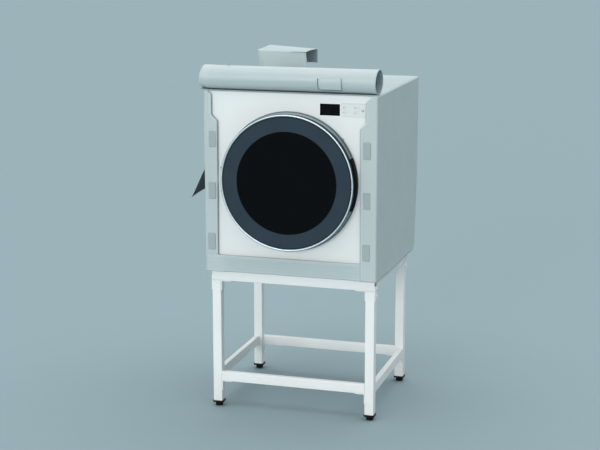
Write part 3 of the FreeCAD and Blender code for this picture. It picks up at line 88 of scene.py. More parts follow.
# Sizes of the sewn cover, taken from its solids where they have the same ones
COVER_HALF = high("cover_right")[0]
COVER_FRONT = low("cover_front")[1]
COVER_BACK = high("cover_back")[1]
COVER_TOP = high("cover_top")[2]
SKIRT_LOW = low("cover_front")[2]
SKIRT_TOP = 611 * MM
HEM_FRONT = 543 * MM
HEM_BACK = low("cover_right")[2] + 9 * MM
HEM_ROUND = 48 * MM
BACK_HEM_Y = 360 * MM
BACK_HEM_Z = low("cover_back")[2]
BACK_FOLD_Z = 850 * MM
BACK_SLOPE = (COVER_BACK - BACK_HEM_Y) / (BACK_FOLD_Z - HEM_BACK)
BACK_FOLD_SOFT = 40 * MM
VENT_Y = (-168 * MM, 8 * MM)
VENT_Z = (818 * MM, 966 * MM)
# Levels of the corners of each front strip's inner edge, then the edge's place at each level
STRIP_LEFT = ((0.55, 1.118, 1.122, 1.139, 1.143, 1.2175, 1.2305),
              (-0.281, -0.278, -0.2805, -0.300, -0.3015, -0.3015, -0.3195))
STRIP_RIGHT = ((0.55, 1.107, 1.111, 1.126, 1.130, 1.2045, 1.2305),
               (0.2705, 0.266, 0.2675, 0.2855, 0.287, 0.287, 0.319))
# Axis and radius of the rolled flap
ROLL_Y, ROLL_Z = -274 * MM, 1278.6 * MM
ROLL_RADIUS = 47.6 * MM
# Left, right, lower and upper edge and corner of the patch on the roll
PATCH = (115 * MM, 201 * MM, 1249 * MM, 1295 * MM, 9 * MM)
# Level of the axis of door and drum
DOOR_AXIS_Z = 904 * MM
# Thickness of printed ink, and how far a print lies in front of its face
INK = 0.12 * MM
SKIN = 0.02 * MM


def size_setting(label, description, millimetres):
    """A property for a length."""
    return bpy.props.FloatProperty(
        name=label, description=description, default=millimetres * MM, unit="LENGTH")


def colour_setting(label, description, *screen):
    """A property for a colour, given as a screen colour."""
    return bpy.props.FloatVectorProperty(
        name=label, description=description, subtype="COLOR", size=3, default=shown(*screen))


class CoverSizes(bpy.types.PropertyGroup):
    """Sizes of the cloth and of its sewing."""

    cloth: size_setting("Cloth", "Thickness of the coated cloth", 1.6)
    front_round: size_setting("Front corner", "Radius of the upright front corners", 7)
    back_round: size_setting("Back corner", "Radius of the upright back corners", 13)
    top_round: size_setting("Top edge", "Radius of the edge round the top", 6)
    slack: size_setting("Slack", "Depth of the cloth's gentle waves", 1.5)
    hem: size_setting("Hem", "Width of the doubled edge", 18)
    stitch_inset: size_setting("Stitch inset", "From a cloth's edge to its stitches", 14)
    roll_pitch: size_setting("Roll pitch", "From one turn of the roll to the next", 4.6)
    roll_turns: bpy.props.FloatProperty(
        name="Roll turns", description="Turns that the rolled flap makes", default=2.5, min=1, max=5)
    crease: size_setting("Hood crease", "Depth of the creases in the hood's front", 6)


class FinishColours(bpy.types.PropertyGroup):
    """Colours of the finishes that a user would change."""

    cover: colour_setting("Cover", "Coated cloth of the cover", 0.747, 0.797, 0.799)
    tape: colour_setting("Hook tape", "Hook tape on the front strips", 0.66, 0.715, 0.715)
    enamel: colour_setting("Enamel", "Front panel and cabinet", 0.932, 0.947, 0.942)
    strip: colour_setting("Control strip", "Control strip and keys", 0.892, 0.907, 0.902)
    stand: colour_setting("Stand", "Powder coat of the stand", 0.965, 0.97, 0.965)
    # The lining's darker tone is painted shade inside the hood and the roll
    lining: colour_setting("Lining", "Inner side of the cover's cloth", 0.60, 0.66, 0.68)
    # The flap lining's near-black tone is painted shade on the flap's inner face
    flap_lining: colour_setting("Flap lining", "Inner side of the side flap", 0.02, 0.10, 0.125)
    glass_ring: colour_setting("Glass ring", "Printed ring of the door glass", 0.205, 0.255, 0.295)
    # The dark middle of the glass is painted shade of the unlit drum behind it
    glass_middle_painted_shade: colour_setting("Glass middle", "Dark middle of the door glass", 0.015, 0.02, 0.026)
    floor: colour_setting("Floor", "Pale studio floor", 0.585, 0.665, 0.69)


def sizes():
    """The cover's sizes of the scene in use."""
    return bpy.context.scene.dryer_cover


def colours():
    """The finish colours of the scene in use."""
    return bpy.context.scene.dryer_colours


# Node helpers


def plug(tree, value, socket):
    """Feed a socket from another one, or set its value."""
    if isinstance(value, bpy.types.NodeSocket):
        tree.links.new(value, socket)
    else:
        socket.default_value = value


def add(tree, kind, inputs=None, **settings):
    """A node with its settings; an input is a value or the socket that feeds it."""
    made = tree.nodes.new(kind)
    for key, value in settings.items():
        setattr(made, key, value)
    for key, value in (inputs or {}).items():
        plug(tree, value, made.inputs[key])
    return made


def maths(tree, operation, first, second=0.0, third=0.0):
    """Result of one sum on sockets or numbers."""
    return add(tree, "ShaderNodeMath", {0: first, 1: second, 2: third}, operation=operation).outputs[0]


def solid_place(tree, stretch=(1.0, 1.0, 1.0)):
    """Object coordinates in metres, stretched for grain that runs one way."""
    source = add(tree, "ShaderNodeTexCoord").outputs["Object"]
    return add(tree, "ShaderNodeMapping", {"Vector": source, "Scale": stretch}).outputs["Vector"]


def start_finish(name, stretch=(1.0, 1.0, 1.0)):
    """A new node material, its tree and its coordinates."""
    material = bpy.data.materials.new(name)
    material.use_nodes = True
    return material, material.node_tree, solid_place(material.node_tree, stretch)


def noise(tree, place, scale, detail=3.0, rough=0.5):
    """Cloudy value of about a half, with scale cells in a metre."""
    inputs = {"Vector": place, "Scale": scale, "Detail": detail, "Roughness": rough}
    return add(tree, "ShaderNodeTexNoise", inputs).outputs["Fac"]


def shades(tree, fac, colour, spread):
    """Colour that runs from a darker to a lighter shade of one tone as fac rises through its middle."""
    ramp = add(tree, "ShaderNodeValToRGB", {"Fac": fac})
    ends = zip(ramp.color_ramp.elements, (0.3, 0.7), (1 - spread, 1 + spread))
    for element, position, share in ends:
        element.position = position
        element.color = (*np.clip(np.array(colour[:3]) * share, 0, 1), 1)
    return ramp.outputs["Color"]


def blend(tree, fac, first, second):
    """Mix of two colours, sockets or triples, by fac."""
    inputs = {0: fac, 6: first, 7: second}
    for key in (6, 7):
        if not isinstance(inputs[key], bpy.types.NodeSocket):
            inputs[key] = (*inputs[key][:3], 1)
    return add(tree, "ShaderNodeMix", inputs, data_type="RGBA").outputs[2]


def ranged(tree, value, low_to, high_to, low_from=0.3, high_from=0.7):
    """Value moved from one range to another."""
    inputs = {0: value, 1: low_from, 2: high_from, 3: low_to, 4: high_to}
    return add(tree, "ShaderNodeMapRange", inputs).outputs[0]


def past(tree, value, start, stop):
    """Rise from 0 to 1 as a value goes from start to stop."""
    return ranged(tree, value, 0.0, 1.0, start, stop)


def cloudy(tree, place, scale, colour, spread):
    """Colour with cloudy patches, scale cells in a metre."""
    return shades(tree, noise(tree, place, scale), colour, spread)


def patchy(tree, place, scale, least_value, most_value, detail=3.0):
    """Value with cloudy patches, scale cells in a metre."""
    return ranged(tree, noise(tree, place, scale, detail), least_value, most_value)


def settle(tree, height=None, depth=0.0, **inputs):
    """Feed the main shader with sockets and with values that are the same all over.

    A height gives fine relief, depth metres for each unit of it.
    """
    if height is not None:
        bump = add(tree, "ShaderNodeBump", {"Height": height, "Distance": depth, "Strength": 1.0})
        inputs["Normal"] = bump.outputs["Normal"]
    for key, value in inputs.items():
        plug(tree, value, tree.nodes["Principled BSDF"].inputs[key.replace("_", " ")])


# Finishes of the solids


def sprayed(name, colour, rough, peel, depth, spread=0.02, coat=0.0, grime=0.0, gloss=0.5, cloud=0.05):
    """Sprayed paint: cloudy tone, the fine pitted skin of paint and, with grime, floor dust low down."""
    dust_top, dust_colour = 0.16, shown(0.55, 0.55, 0.53)
    material, tree, place = start_finish(name)
    tone = cloudy(tree, place, 7.0, colour, spread)
    if grime:
        height = add(tree, "ShaderNodeSeparateXYZ", {0: place}).outputs["Z"]
        near_floor = ranged(tree, height, grime, 0.0, 0.0, dust_top)
        dust = maths(tree, "MULTIPLY", near_floor, noise(tree, place, 38.0, 5.0))
        tone = blend(tree, dust, tone, dust_colour)
    polish = patchy(tree, place, 23.0, rough - cloud, rough + cloud)
    settle(tree, noise(tree, place, peel, 2.0), depth, Base_Color=tone, Roughness=polish,
           Specular_IOR_Level=gloss, Coat_Weight=coat, Coat_Roughness=0.12)
    return material


def brushed(name, colour, rough, stretch, spread=0.08):
    """Brushed or rolled metal: long fine scratches one way, with cloudy roughness."""
    scratch_depth, cloud = 0.03 * MM, 0.06
    material, tree, drawn = start_finish(name, stretch)
    scratches = noise(tree, drawn, 1.0, 4.0, 0.6)
    polish = patchy(tree, solid_place(tree), 11.0, rough - cloud, rough + cloud)
    settle(tree, scratches, scratch_depth, Base_Color=shades(tree, scratches, colour, spread),
           Roughness=polish, Metallic=1.0)
    return material


def moulded(name, colour, rough, grain, depth, spread=0.05, gloss=0.5):
    """Moulded plastic or rubber: a fine spark-eroded grain with patches of polish."""
    cloud = 0.06
    material, tree, place = start_finish(name)
    polish = patchy(tree, place, 45.0, rough - cloud, rough + cloud)
    settle(tree, noise(tree, place, grain), depth, Base_Color=cloudy(tree, place, 16.0, colour, spread),
           Roughness=polish, Specular_IOR_Level=gloss)
    return material


def off_axis(tree, place):
    """Distance of a place from the door's axis."""
    parts = add(tree, "ShaderNodeSeparateXYZ", {0: place}).outputs
    rise = maths(tree, "SUBTRACT", parts["Z"], DOOR_AXIS_Z)
    squares = [maths(tree, "POWER", side, 2.0) for side in (parts["X"], rise)]
    return maths(tree, "SQRT", maths(tree, "ADD", *squares))


def zoned(name, inner, zones, polish, **values):
    """Finish of a turned piece: its colour changes at distances from the door's axis.

    A tone is a colour, alone or with the cells of its clouds in a metre and their spread. Each zone has the
    two distances between which it sets in, then its tone. The polish has the roughness's cells, limits and
    detail.
    """
    material, tree, place = start_finish(name)
    radius = off_axis(tree, place)

    def toned(colour, cells=0.0, spread=0.0):
        return cloudy(tree, place, cells, colour, spread) if spread else colour

    tone = toned(*inner)
    for near, far, *outer in zones:
        tone = blend(tree, past(tree, radius, near, far), tone, toned(*outer))
    settle(tree, Base_Color=tone, Roughness=patchy(tree, place, *polish), **values)
    return material


def smoked_glass(name, colour):
    """Heat-proof bowl glass, faintly smoked, with a little wavy thickness from pressing."""
    material, tree, place = start_finish(name)
    settle(tree, noise(tree, place, 25.0, 1.0), 0.15 * MM, Base_Color=cloudy(tree, place, 6.0, colour, 0.05),
           Roughness=0.04, IOR=1.5, Transmission_Weight=0.85)
    return material


def screen_black(name):
    """Display window: deep black acrylic with faint wiping marks."""
    material, tree, drawn = start_finish(name, (40.0, 40.0, 8.0))
    wiped = noise(tree, drawn, 1.0, 4.0)
    settle(tree, Base_Color=shades(tree, wiped, shown(0.025, 0.03, 0.033), 0.2),
           Roughness=ranged(tree, wiped, 0.07, 0.16), Specular_IOR_Level=0.1)
    return material


def fuzzy(name, colour, cell, depth):
    """Felt or hook tape: short fibres as fine noise, with sheen along the edges."""
    material, tree, place = start_finish(name)
    fibres = noise(tree, place, cell, 6.0, 0.7)
    settle(tree, fibres, depth, Base_Color=shades(tree, fibres, colour, 0.16), Roughness=0.95,
           Sheen_Weight=0.3, Sheen_Roughness=0.5)
    return material


def coated_cloth(name, colour, gloss=0.4):
    """Coated weather cloth: a fine plain weave under a soft coating, doubled hems and a row of stitches.

    The weave is the product of two sine ripples along the cloth's own cut. A hem is a shade paler. A stitch
    shows where the distance to the stitch line is under half a thread and the run along it is inside a dash.
    """
    half_thread, dash, dash_share, weave_pitch = 0.7 * MM, 3.5 * MM, 0.62, 1.3 * MM
    wave_unit, hem_tone, stitch_tone = math.pi / 10, 0.35, 0.45
    crumple_height, weave_height, hem_height, stitch_depth = 4.0, 0.35, 1.2, 1.5
    paler, darker = np.array(colour[:3]) * 1.12, np.array(colour[:3]) * 0.5
    material, tree, place = start_finish(name)

    def times(first, second):
        return maths(tree, "MULTIPLY", first, second)

    cut = add(tree, "ShaderNodeUVMap", uv_map="Cut").outputs["UV"]
    ripple = {"Vector": cut, "Scale": wave_unit / weave_pitch, "Distortion": 0.0}
    warp, weft = [add(tree, "ShaderNodeTexWave", ripple, bands_direction=way).outputs["Fac"] for way in "XY"]
    weave = times(warp, weft)
    hem, off, run = [add(tree, "ShaderNodeAttribute", attribute_name=key).outputs["Fac"]
                     for key in ("doubled", "stitch_off", "stitch_run")]
    in_dash = maths(tree, "LESS_THAN", maths(tree, "FRACT", maths(tree, "DIVIDE", run, dash)), dash_share)
    stitch = times(maths(tree, "COMPARE", off, 0.0, half_thread), in_dash)
    tone = shades(tree, noise(tree, place, 5.0, 4.0), colour, 0.025)
    tone = blend(tree, times(hem, hem_tone), tone, paler)
    tone = blend(tree, times(stitch, stitch_tone), tone, darker)
    crumple = times(noise(tree, place, 26.0), crumple_height)
    height = maths(tree, "ADD", crumple, times(weave, weave_height))
    height = maths(tree, "ADD", height, times(hem, hem_height))
    height = maths(tree, "SUBTRACT", height, times(stitch, stitch_depth))
    settle(tree, height, 0.12 * MM, Base_Color=tone, Roughness=patchy(tree, place, 17.0, 0.38, 0.48),
           Sheen_Weight=0.2 * gloss, Sheen_Roughness=0.4, Specular_IOR_Level=gloss)
    return material


def printed_ink(name, colour):
    """Screen-printed ink for the small marks: slightly uneven and matt."""
    return moulded(name, colour, 0.5, 2500.0, 0.01 * MM, 0.08)


def finish_table():
    """Finish of every material slot of the solids, then those that only new pieces have."""
    own = colours()
    around_drum = (1.5, 700.0, 1.5)
    dark_foot, dark_grip = shown(0.03, 0.033, 0.036), shown(0.035, 0.047, 0.055)
    silver = shown(0.55, 0.61, 0.63)
    return {
        "stand_paint": sprayed("stand_powder_coat", own.stand, 0.42, 900.0, 0.06 * MM, 0.015, grime=0.2),
        "zinc_steel": sprayed("painted_fastener", own.stand, 0.45, 900.0, 0.04 * MM),
        "cap_plastic": moulded("black_leg_cap", shown(0.04, 0.045, 0.05), 0.5, 1400.0, 0.05 * MM, gloss=0.2),
        "foot_rubber": moulded("black_foot_rubber", dark_foot, 0.7, 900.0, 0.08 * MM, 0.15, 0.2),
        "enamel": sprayed("white_enamel", own.enamel, 0.36, 400.0, 0.003 * MM, 0.004, coat=0.1, cloud=0.015),
        "coated_steel": brushed("zinc_coated_sheet", shown(0.72, 0.74, 0.75), 0.42, (60.0, 60.0, 8.0), 0.10),
        "drum_steel": brushed("drum_stainless", shown(0.78, 0.78, 0.77), 0.26, around_drum),
        "lifter_plastic": moulded("grey_lifter", shown(0.62, 0.65, 0.67), 0.4, 700.0, 0.05 * MM),
        "felt": fuzzy("cream_felt", shown(0.80, 0.77, 0.70), 1500.0, 0.4 * MM),
        "motor_paint": sprayed("motor_enamel", shown(0.20, 0.21, 0.22), 0.45, 400.0, 0.06 * MM, 0.06),
        "belt_rubber": moulded("belt_rubber", shown(0.06, 0.06, 0.06), 0.75, 1200.0, 0.08 * MM, 0.2),
        "blower_plastic": moulded("dark_blower_plastic", shown(0.25, 0.27, 0.28), 0.5, 800.0, 0.05 * MM),
        "gas_brass": brushed("turned_brass", shown(0.82, 0.68, 0.38), 0.3, (250.0, 250.0, 900.0)),
        "filter_plastic": moulded("blue_grey_filter", shown(0.45, 0.55, 0.62), 0.4, 900.0, 0.05 * MM),
        "strip_plastic": moulded("white_strip", own.strip, 0.34, 1800.0, 0.006 * MM, 0.006),
        "display_plastic": screen_black("display_black"),
        "board_laminate": moulded("green_laminate", shown(0.16, 0.34, 0.22), 0.45, 600.0, 0.04 * MM, 0.12),
        "key_plastic": moulded("white_key", own.strip, 0.32, 2200.0, 0.006 * MM, 0.006),
        # Painted shadow in the recess inside the frame, silver paint, then a painted shade line at the outer
        # edge
        "door_silver": zoned("door_silver_and_painted_shade", (shown(0.08, 0.10, 0.11),), (
            (251.5 * MM, 251.9 * MM, silver, 9.0, 0.03), (257.0 * MM, 257.4 * MM, np.array(silver) * 0.3)),
            (23.0, 0.28, 0.38), Metallic=0.35, Coat_Weight=0.2),
        # Bright plating, with a painted dark reflection where the face turns back
        "trim_chrome": zoned("trim_chrome", (shown(0.79, 0.83, 0.85), 30.0, 0.015), (
            (253.4 * MM, 253.7 * MM, shown(0.10, 0.12, 0.13)),), (12.0, 0.40, 0.44), Metallic=1.0),
        # Painted shade of the unlit drum in the black middle, a slate ring printed on the back of the glass,
        # and a darker rim at its edge
        "door_glass": zoned("door_glass_print_and_shade", (own.glass_middle_painted_shade,), (
            (190 * MM, 192 * MM, own.glass_ring, 9.0, 0.06), (242 * MM, 245 * MM, shown(0.06, 0.065, 0.07))),
            (14.0, 0.05, 0.11, 5.0), IOR=1.5, Specular_IOR_Level=0.12),
        "bowl_glass": smoked_glass("bowl_smoked_glass", shown(0.72, 0.76, 0.78)),
        "grip_plastic": moulded("black_grip", dark_grip, 0.45, 1600.0, 0.03 * MM, 0.1, 0.2),
        "hinge_steel": sprayed("hinge_enamel", own.enamel, 0.35, 600.0, 0.02 * MM, 0.01),
        "cover_fabric": coated_cloth("coated_cover_cloth", own.cover),
        "tape_fabric": fuzzy("hook_tape_pile", own.tape, 2600.0, 0.3 * MM),
        "ink": printed_ink("grey_ink", shown(0.42, 0.47, 0.50)),
        "pale_ink": printed_ink("pale_ink", shown(0.79, 0.82, 0.82)),
        # Dark welt colour: painted shadow along the patch's edges
        "welt": moulded("welt_painted_shadow", shown(0.20, 0.25, 0.27), 0.6, 900.0, 0.05 * MM),
        # Darker inner side of the cloth: painted shade inside the hood and the roll
        "lining": coated_cloth("cover_inner_painted_shade", own.lining, 0.1),
        # Near-black inner side of the side flap: painted shade
        "flap_lining": coated_cloth("side_flap_inner_painted_shade", own.flap_lining, 0.1),
        "white_trim": moulded("white_trim", shown(0.99, 0.99, 0.99), 0.3, 1500.0, 0.005 * MM, 0.005),
    }


FINISHES = {}


# Mesh helpers


def places(*parts):
    """Points of a grid from their coordinates, each spread over the whole grid."""
    return np.stack(np.broadcast_arrays(*parts), axis=-1)


def listed(*grids):
    """Points of several grids, one after the other."""
    return np.concatenate([grid.reshape(-1, grid.shape[-1]) for grid in grids])


def grid_faces(*grids):
    """Corner numbers of the quads between the rows and columns of grids that follow each other."""
    first, faces = 0, []
    for grid in grids:
        rows, columns = grid.shape[:2]
        index = np.arange(rows * columns).reshape(rows, columns) + first
        quads = np.stack([index[:-1, :-1], index[:-1, 1:], index[1:, 1:], index[1:, :-1]], axis=-1)
        faces.append(quads.reshape(-1, 4))
        first += rows * columns
    return np.concatenate(faces)


def put_mesh(name, points, faces=None, uv=None, facts=None):
    """An object from points and quads, with a cut map in metres and named values at its points.

    Without faces the points are one whole grid. Points that no face uses are dropped, and their neighbours
    renumbered.
    """
    faces = grid_faces(points) if faces is None else faces
    used, renumbered = np.unique(faces.reshape(-1), return_inverse=True)
    quads = renumbered.reshape(-1, 4)
    mesh = bpy.data.meshes.new(name)
    mesh.from_pydata(points.reshape(-1, 3)[used].tolist(), [], quads.tolist())
    mesh.polygons.foreach_set("use_smooth", np.ones(len(quads), bool))
    if uv is not None:
        corners = uv.reshape(-1, 2)[used][quads.reshape(-1)]
        mesh.uv_layers.new(name="Cut").data.foreach_set("uv", corners.reshape(-1).astype(np.float32))
    for key, values in (facts or {}).items():
        attribute = mesh.attributes.new(key, "FLOAT", "POINT")
        attribute.data.foreach_set("value", values.reshape(-1)[used].astype(np.float32))
    mesh.update()
    made = bpy.data.objects.new(name, mesh)
    bpy.context.scene.collection.objects.link(made)
    return made


def cloth_facts(free_edge, run, hem=None, inset=None):
    """Sewing values at each point: how far it is in the doubled hem, off the stitch line and along it."""
    soft = 1.5 * MM
    width = sizes().hem if hem is None else hem
    line = sizes().stitch_inset if inset is None else inset
    doubled = np.clip((width - free_edge) / soft + 0.5, 0, 1)
    return {"doubled": doubled, "stitch_off": free_edge - line, "stitch_run": run + 0 * free_edge}


def thicken(made, thickness, offset=-1.0, lined=False):
    """Wall thickness for a sheet, on its inner side unless offset says otherwise.

    The inner side of a lined wall has the second finish.
    """
    wall = made.modifiers.new("wall", "SOLIDIFY")
    wall.thickness = thickness
    wall.offset = offset
    wall.use_even_offset = True
    wall.material_offset = 1 if lined else 0


def put_cloth(name, points, faces, uv, facts, offset=-1.0):
    """A sheet of the cover's lined cloth."""
    made = put_mesh(name, points, faces, uv, facts)
    thicken(made, sizes().cloth, offset, lined=True)
    return made


def dress(made, body, slot, nodes=(), finish=None, lining="lining"):
    """Finish, body and stood-for solids of a new piece; cloth also gets the finish of its inner side.

    The finish is that of the slot unless another one is named.
    """
    made.data.materials.append(FINISHES[finish or slot])
    if slot == "cover_fabric" and finish is None:
        made.data.materials.append(FINISHES[lining])
    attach(made, body)
    if nodes:
        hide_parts(*nodes)
    return made


def ease(value):
    """Smooth rise from 0 to 1, flat at both ends."""
    held = np.clip(value, 0, 1)
    return held * held * (3 - 2 * held)


def arch(value):
    """Half a sine wave over the values from 0 to 1."""
    return np.sin(math.pi * np.clip(value, 0, 1))


def least(*values):
    """Smallest of several values at each point."""
    return np.min(np.broadcast_arrays(*values), axis=0)


def steps(count):
    """Even places from 0 to 1, with the end left out."""
    return np.linspace(0, 1, count, endpoint=False)


def stretches(*parts):
    """Places along a line: (start, stop, count) parts that follow each other, ends counted once."""
    pieces = [np.linspace(start, stop, count, endpoint=False) for start, stop, count in parts]
    return np.concatenate(pieces + [np.array([parts[-1][1]])])


def in_parts(*parts):
    """Number of the part and share of it for each place along an outline made of parts."""
    numbers = [np.full(len(part), number) for number, part in enumerate(parts)]
    return np.concatenate(numbers), np.concatenate(parts)


def lengths(first, second):
    """Length along each row of a grid from its first point, from two coordinates."""
    step = np.hypot(np.diff(first, axis=-1), np.diff(second, axis=-1))
    return np.concatenate([0 * first[..., :1], np.cumsum(step, axis=-1)], axis=-1)


def outside(value, ends):
    """How far a value lies outside two ends, negative between them."""
    return np.abs(value - sum(ends) / 2) - (ends[1] - ends[0]) / 2


def tube(path, out, beside, thick, count):
    """Thin tube along a line of points: at each one a closed circle of points in two directions."""
    around = np.linspace(0, CIRCLE, count)[:, None]
    out, beside = [np.broadcast_to(way, path.shape)[:, None] for way in (out, beside)]
    return path[:, None] + thick * (np.cos(around) * out + np.sin(around) * beside)


# Share of each swell of hanging cloth, its radians in a metre along and up, and where it starts
SWELLS = ((0.5, 13, 6, 0.4), (0.3, 7, -12, 1.3), (0.2, 29, 17, 0.7))


def swell(along, up):
    """Gentle unevenness of hanging cloth: three crossing sine swells, about -1 to 1."""
    return sum(share * np.sin(along * waves + up * rising + start) for share, waves, rising, start in SWELLS)


# Weather cover


def back_line(level):
    """Depth of the cover's back at a level: straight above the fold, then drawn in by a fixed slope."""
    straight = 0.2
    below = BACK_FOLD_Z - level
    eased = (below + np.sqrt(below ** 2 + BACK_FOLD_SOFT ** 2)) / 2
    return COVER_BACK - BACK_SLOPE * np.where(level > COVER_TOP - straight, 0, eased)


def strip_edge(level, side):
    """Inner edge of a front strip at a level: two straight runs joined by a slant, with a cut top corner."""
    return np.interp(level, *(STRIP_LEFT if side < 0 else STRIP_RIGHT))


def wall_path(part, share, level, inset):
    """Point and outward direction on the cover's outline at a level.

    The nine parts follow the outline from the left strip's edge round the left wall, the back and the right
    wall to the right strip's edge: straight runs with quarter circles between them. Parts past the back
    mirror those before it. Inset draws them all inwards.
    """
    tight, last = 0.4 * MM, 8
    mirrored = part > last // 2
    side = np.where(mirrored, -1, 1)
    edge = np.where(mirrored, -strip_edge(level, 1), strip_edge(level, -1))
    part = np.where(mirrored, last - part, part)
    share = np.where(mirrored, 1 - share, share)
    half = COVER_HALF - inset
    front = COVER_FRONT + inset
    back = back_line(level) - inset
    near = np.maximum(sizes().front_round - inset, tight)
    far = np.maximum(sizes().back_round - inset, tight)
    flat = 0 * level
    sine, cosine = np.sin(share * QUARTER) + flat, np.cos(share * QUARTER) + flat
    depth = (back - far) - (front + near)
    which = [part == number for number in range(5)]
    x = np.select(which, [edge + share * (near - half - edge), near - half - near * sine, flat - half,
                          far - half - far * cosine, (far - half) + share * 2 * (half - far)])
    y = np.select(which, [flat + front, front + near - near * cosine, front + near + share * depth,
                          back - far + far * sine, back])
    out_x = np.select(which, [flat, -sine, flat - 1, -cosine, flat])
    out_y = np.select(which, [flat - 1, -cosine, flat, sine, flat + 1])
    return side * x, y, side * out_x, out_y


def side_hem(y):
    """Lower edge of a side wall at a depth: a slightly falling line, rounded up into the back."""
    line = HEM_FRONT + (HEM_BACK - HEM_FRONT) * (y - COVER_FRONT) / (BACK_HEM_Y - COVER_FRONT)
    over = np.clip(y - (BACK_HEM_Y - HEM_ROUND), 0, HEM_ROUND)
    return np.minimum(line + HEM_ROUND - np.sqrt(HEM_ROUND ** 2 - over ** 2), BACK_HEM_Z)


def cover_walls():
    """Left wall, back, right wall and front strips as one sewn band.

    Columns follow the outline, rows climb from the hem. Rows above the skirt are level; rows below it are
    spread between the hem and the skirt's top. The last rows turn inwards over the top edge by a quarter
    circle. The vent hole's faces are left out.
    """
    flange, seam_off, puff, held_depth, far_off = 8 * MM, 4 * MM, 0.5 * MM, 0.12, 1.0
    loose_level, loose_more = 0.66, 0.8
    slant_low, slant_high = STRIP_RIGHT[0][1], STRIP_LEFT[0][4]
    cut_low, cut_high = STRIP_RIGHT[0][5], STRIP_LEFT[0][5]
    near, far, radius = sizes().front_round, sizes().back_round, sizes().top_round
    wall_front, wall_back = COVER_FRONT + near, COVER_BACK - far
    vent = [(edge - wall_front) / (wall_back - wall_front) for edge in VENT_Y]
    wall = stretches((0, vent[0], 14), (*vent, 16), (vent[1], 1, 44))[:-1]
    right_wall = np.concatenate([[0.0], 1 - wall[:0:-1]])
    corner = steps(6)
    part, share = in_parts(steps(8), corner, wall, corner, steps(60), corner, right_wall, corner,
                           np.linspace(0, 1, 9))
    low_y = wall_front + share * (BACK_HEM_Y - far - COVER_FRONT)
    wall_hem = side_hem(np.where(part == 6, COVER_FRONT + BACK_HEM_Y - low_y, low_y))
    left_end, right_end = wall_hem[part == 2][-1], wall_hem[part == 6][0]
    hem = np.select([part % 4 == 2, part == 3, part == 5, part == 4], [
        wall_hem, left_end + (BACK_HEM_Z - left_end) * ease(share),
        right_end + (BACK_HEM_Z - right_end) * ease(1 - share), BACK_HEM_Z], SKIRT_LOW)
    low_share = steps(11)[:, None]
    levels = stretches((SKIRT_TOP, VENT_Z[0], 30), (*VENT_Z, 24), (VENT_Z[1], slant_low, 14),
                       (slant_low, slant_high, 12), (slant_high, cut_low, 8), (cut_low, cut_high, 4),
                       (cut_high, COVER_TOP - radius, 2))
    turn = np.linspace(0, QUARTER, 6)[1:]
    above = np.concatenate([levels, COVER_TOP - radius + radius * np.sin(turn), [COVER_TOP]])
    level = np.concatenate([hem + (SKIRT_TOP - hem) * low_share, above[:, None] + 0 * hem])
    upright = np.zeros(len(low_share) + len(levels))
    inset = np.concatenate([upright, radius * (1 - np.cos(turn)), [radius + flange]])[:, None]
    x, y, out_x, out_y = wall_path(part, share, level, inset)
    along = lengths(x, y)
    run = along[len(along) // 2]
    edges = [np.abs(x - strip_edge(level, side)) for side in (-1, 1)]
    edge = np.select([part == 0, part == 8], edges, far_off)
    vent_off = np.maximum(outside(y, VENT_Y), outside(level, VENT_Z))
    vent_edge = np.abs(np.where(part == 2, vent_off, far_off))
    seam = np.where(part % 8 == 0, far_off, COVER_TOP - level + inset)
    free = least(level - hem, edge, vent_edge, seam + seam_off)
    along_edge = np.where(free == edge, level, np.where(free == vent_edge, y + level, run))
    facts = cloth_facts(free, along_edge)
    held = ease((COVER_TOP - level) / held_depth)
    loose = 1 + loose_more * ease((loose_level - level) / held_depth)
    lift = sizes().slack * held * swell(run, level) * loose + puff * facts["doubled"] * held
    points = places(x + out_x * lift, y + out_y * lift, level)
    middle_y, middle_z = [(grid[:-1, :-1] + grid[1:, 1:]) / 2 for grid in (y, level)]
    in_vent = (part[:-1] == 2) & (np.maximum(outside(middle_y, VENT_Y), outside(middle_z, VENT_Z)) < 0)
    faces = grid_faces(points)[~in_vent.reshape(-1), ::-1]
    made = put_cloth("cover_band", points, faces, places(along, level), facts)
    return made, float(run[-1]), COVER_TOP - HEM_BACK + radius


def cover_skirt():
    """Skirt across the front under the door, sewn over the left strip and tucked behind the right one.

    Between the strips its upper edge stands out and its lower edge is drawn in.
    """
    tuck, over, drawn, bulge, puff = 9 * MM, 2.4 * MM, 6 * MM, 4 * MM, 0.4 * MM
    sewn, loosened, behind_run, end_off = 4 * MM, 50 * MM, 10 * MM, 6 * MM
    in_corner, off_hem, other_waves = 1 * MM, 0.4 * MM, 4.0
    left_strip, right_strip = strip_edge(SKIRT_LOW, -1), strip_edge(SKIRT_LOW, 1)
    x = np.linspace(-COVER_HALF + sizes().front_round - in_corner, right_strip + tuck, 97)
    z = np.linspace(SKIRT_LOW + off_hem, SKIRT_TOP, 17)
    across, up = np.meshgrid(x, z)
    past_left = ease((across - left_strip - sewn) / loosened)
    behind = over * (1 - ease((right_strip - across) / behind_run))
    between = past_left * ease((right_strip - across) / loosened)
    wave = sizes().slack * swell(across + other_waves, up) * between
    rise = (up - z[0]) / (z[-1] - z[0])
    slope = between * (drawn - (drawn + bulge) * rise)
    free = least(up - z[0], z[-1] - up, np.abs(right_strip - across) + end_off)
    facts = cloth_facts(free, across)
    y = COVER_FRONT - over * (1 - past_left) + behind + slope - wave - puff * facts["doubled"] * between
    points = places(across, y, up)
    made = put_cloth("cover_skirt", points, None, places(across, up), facts)
    return made, float(x[-1] - x[0]), float(z[-1] - z[0])


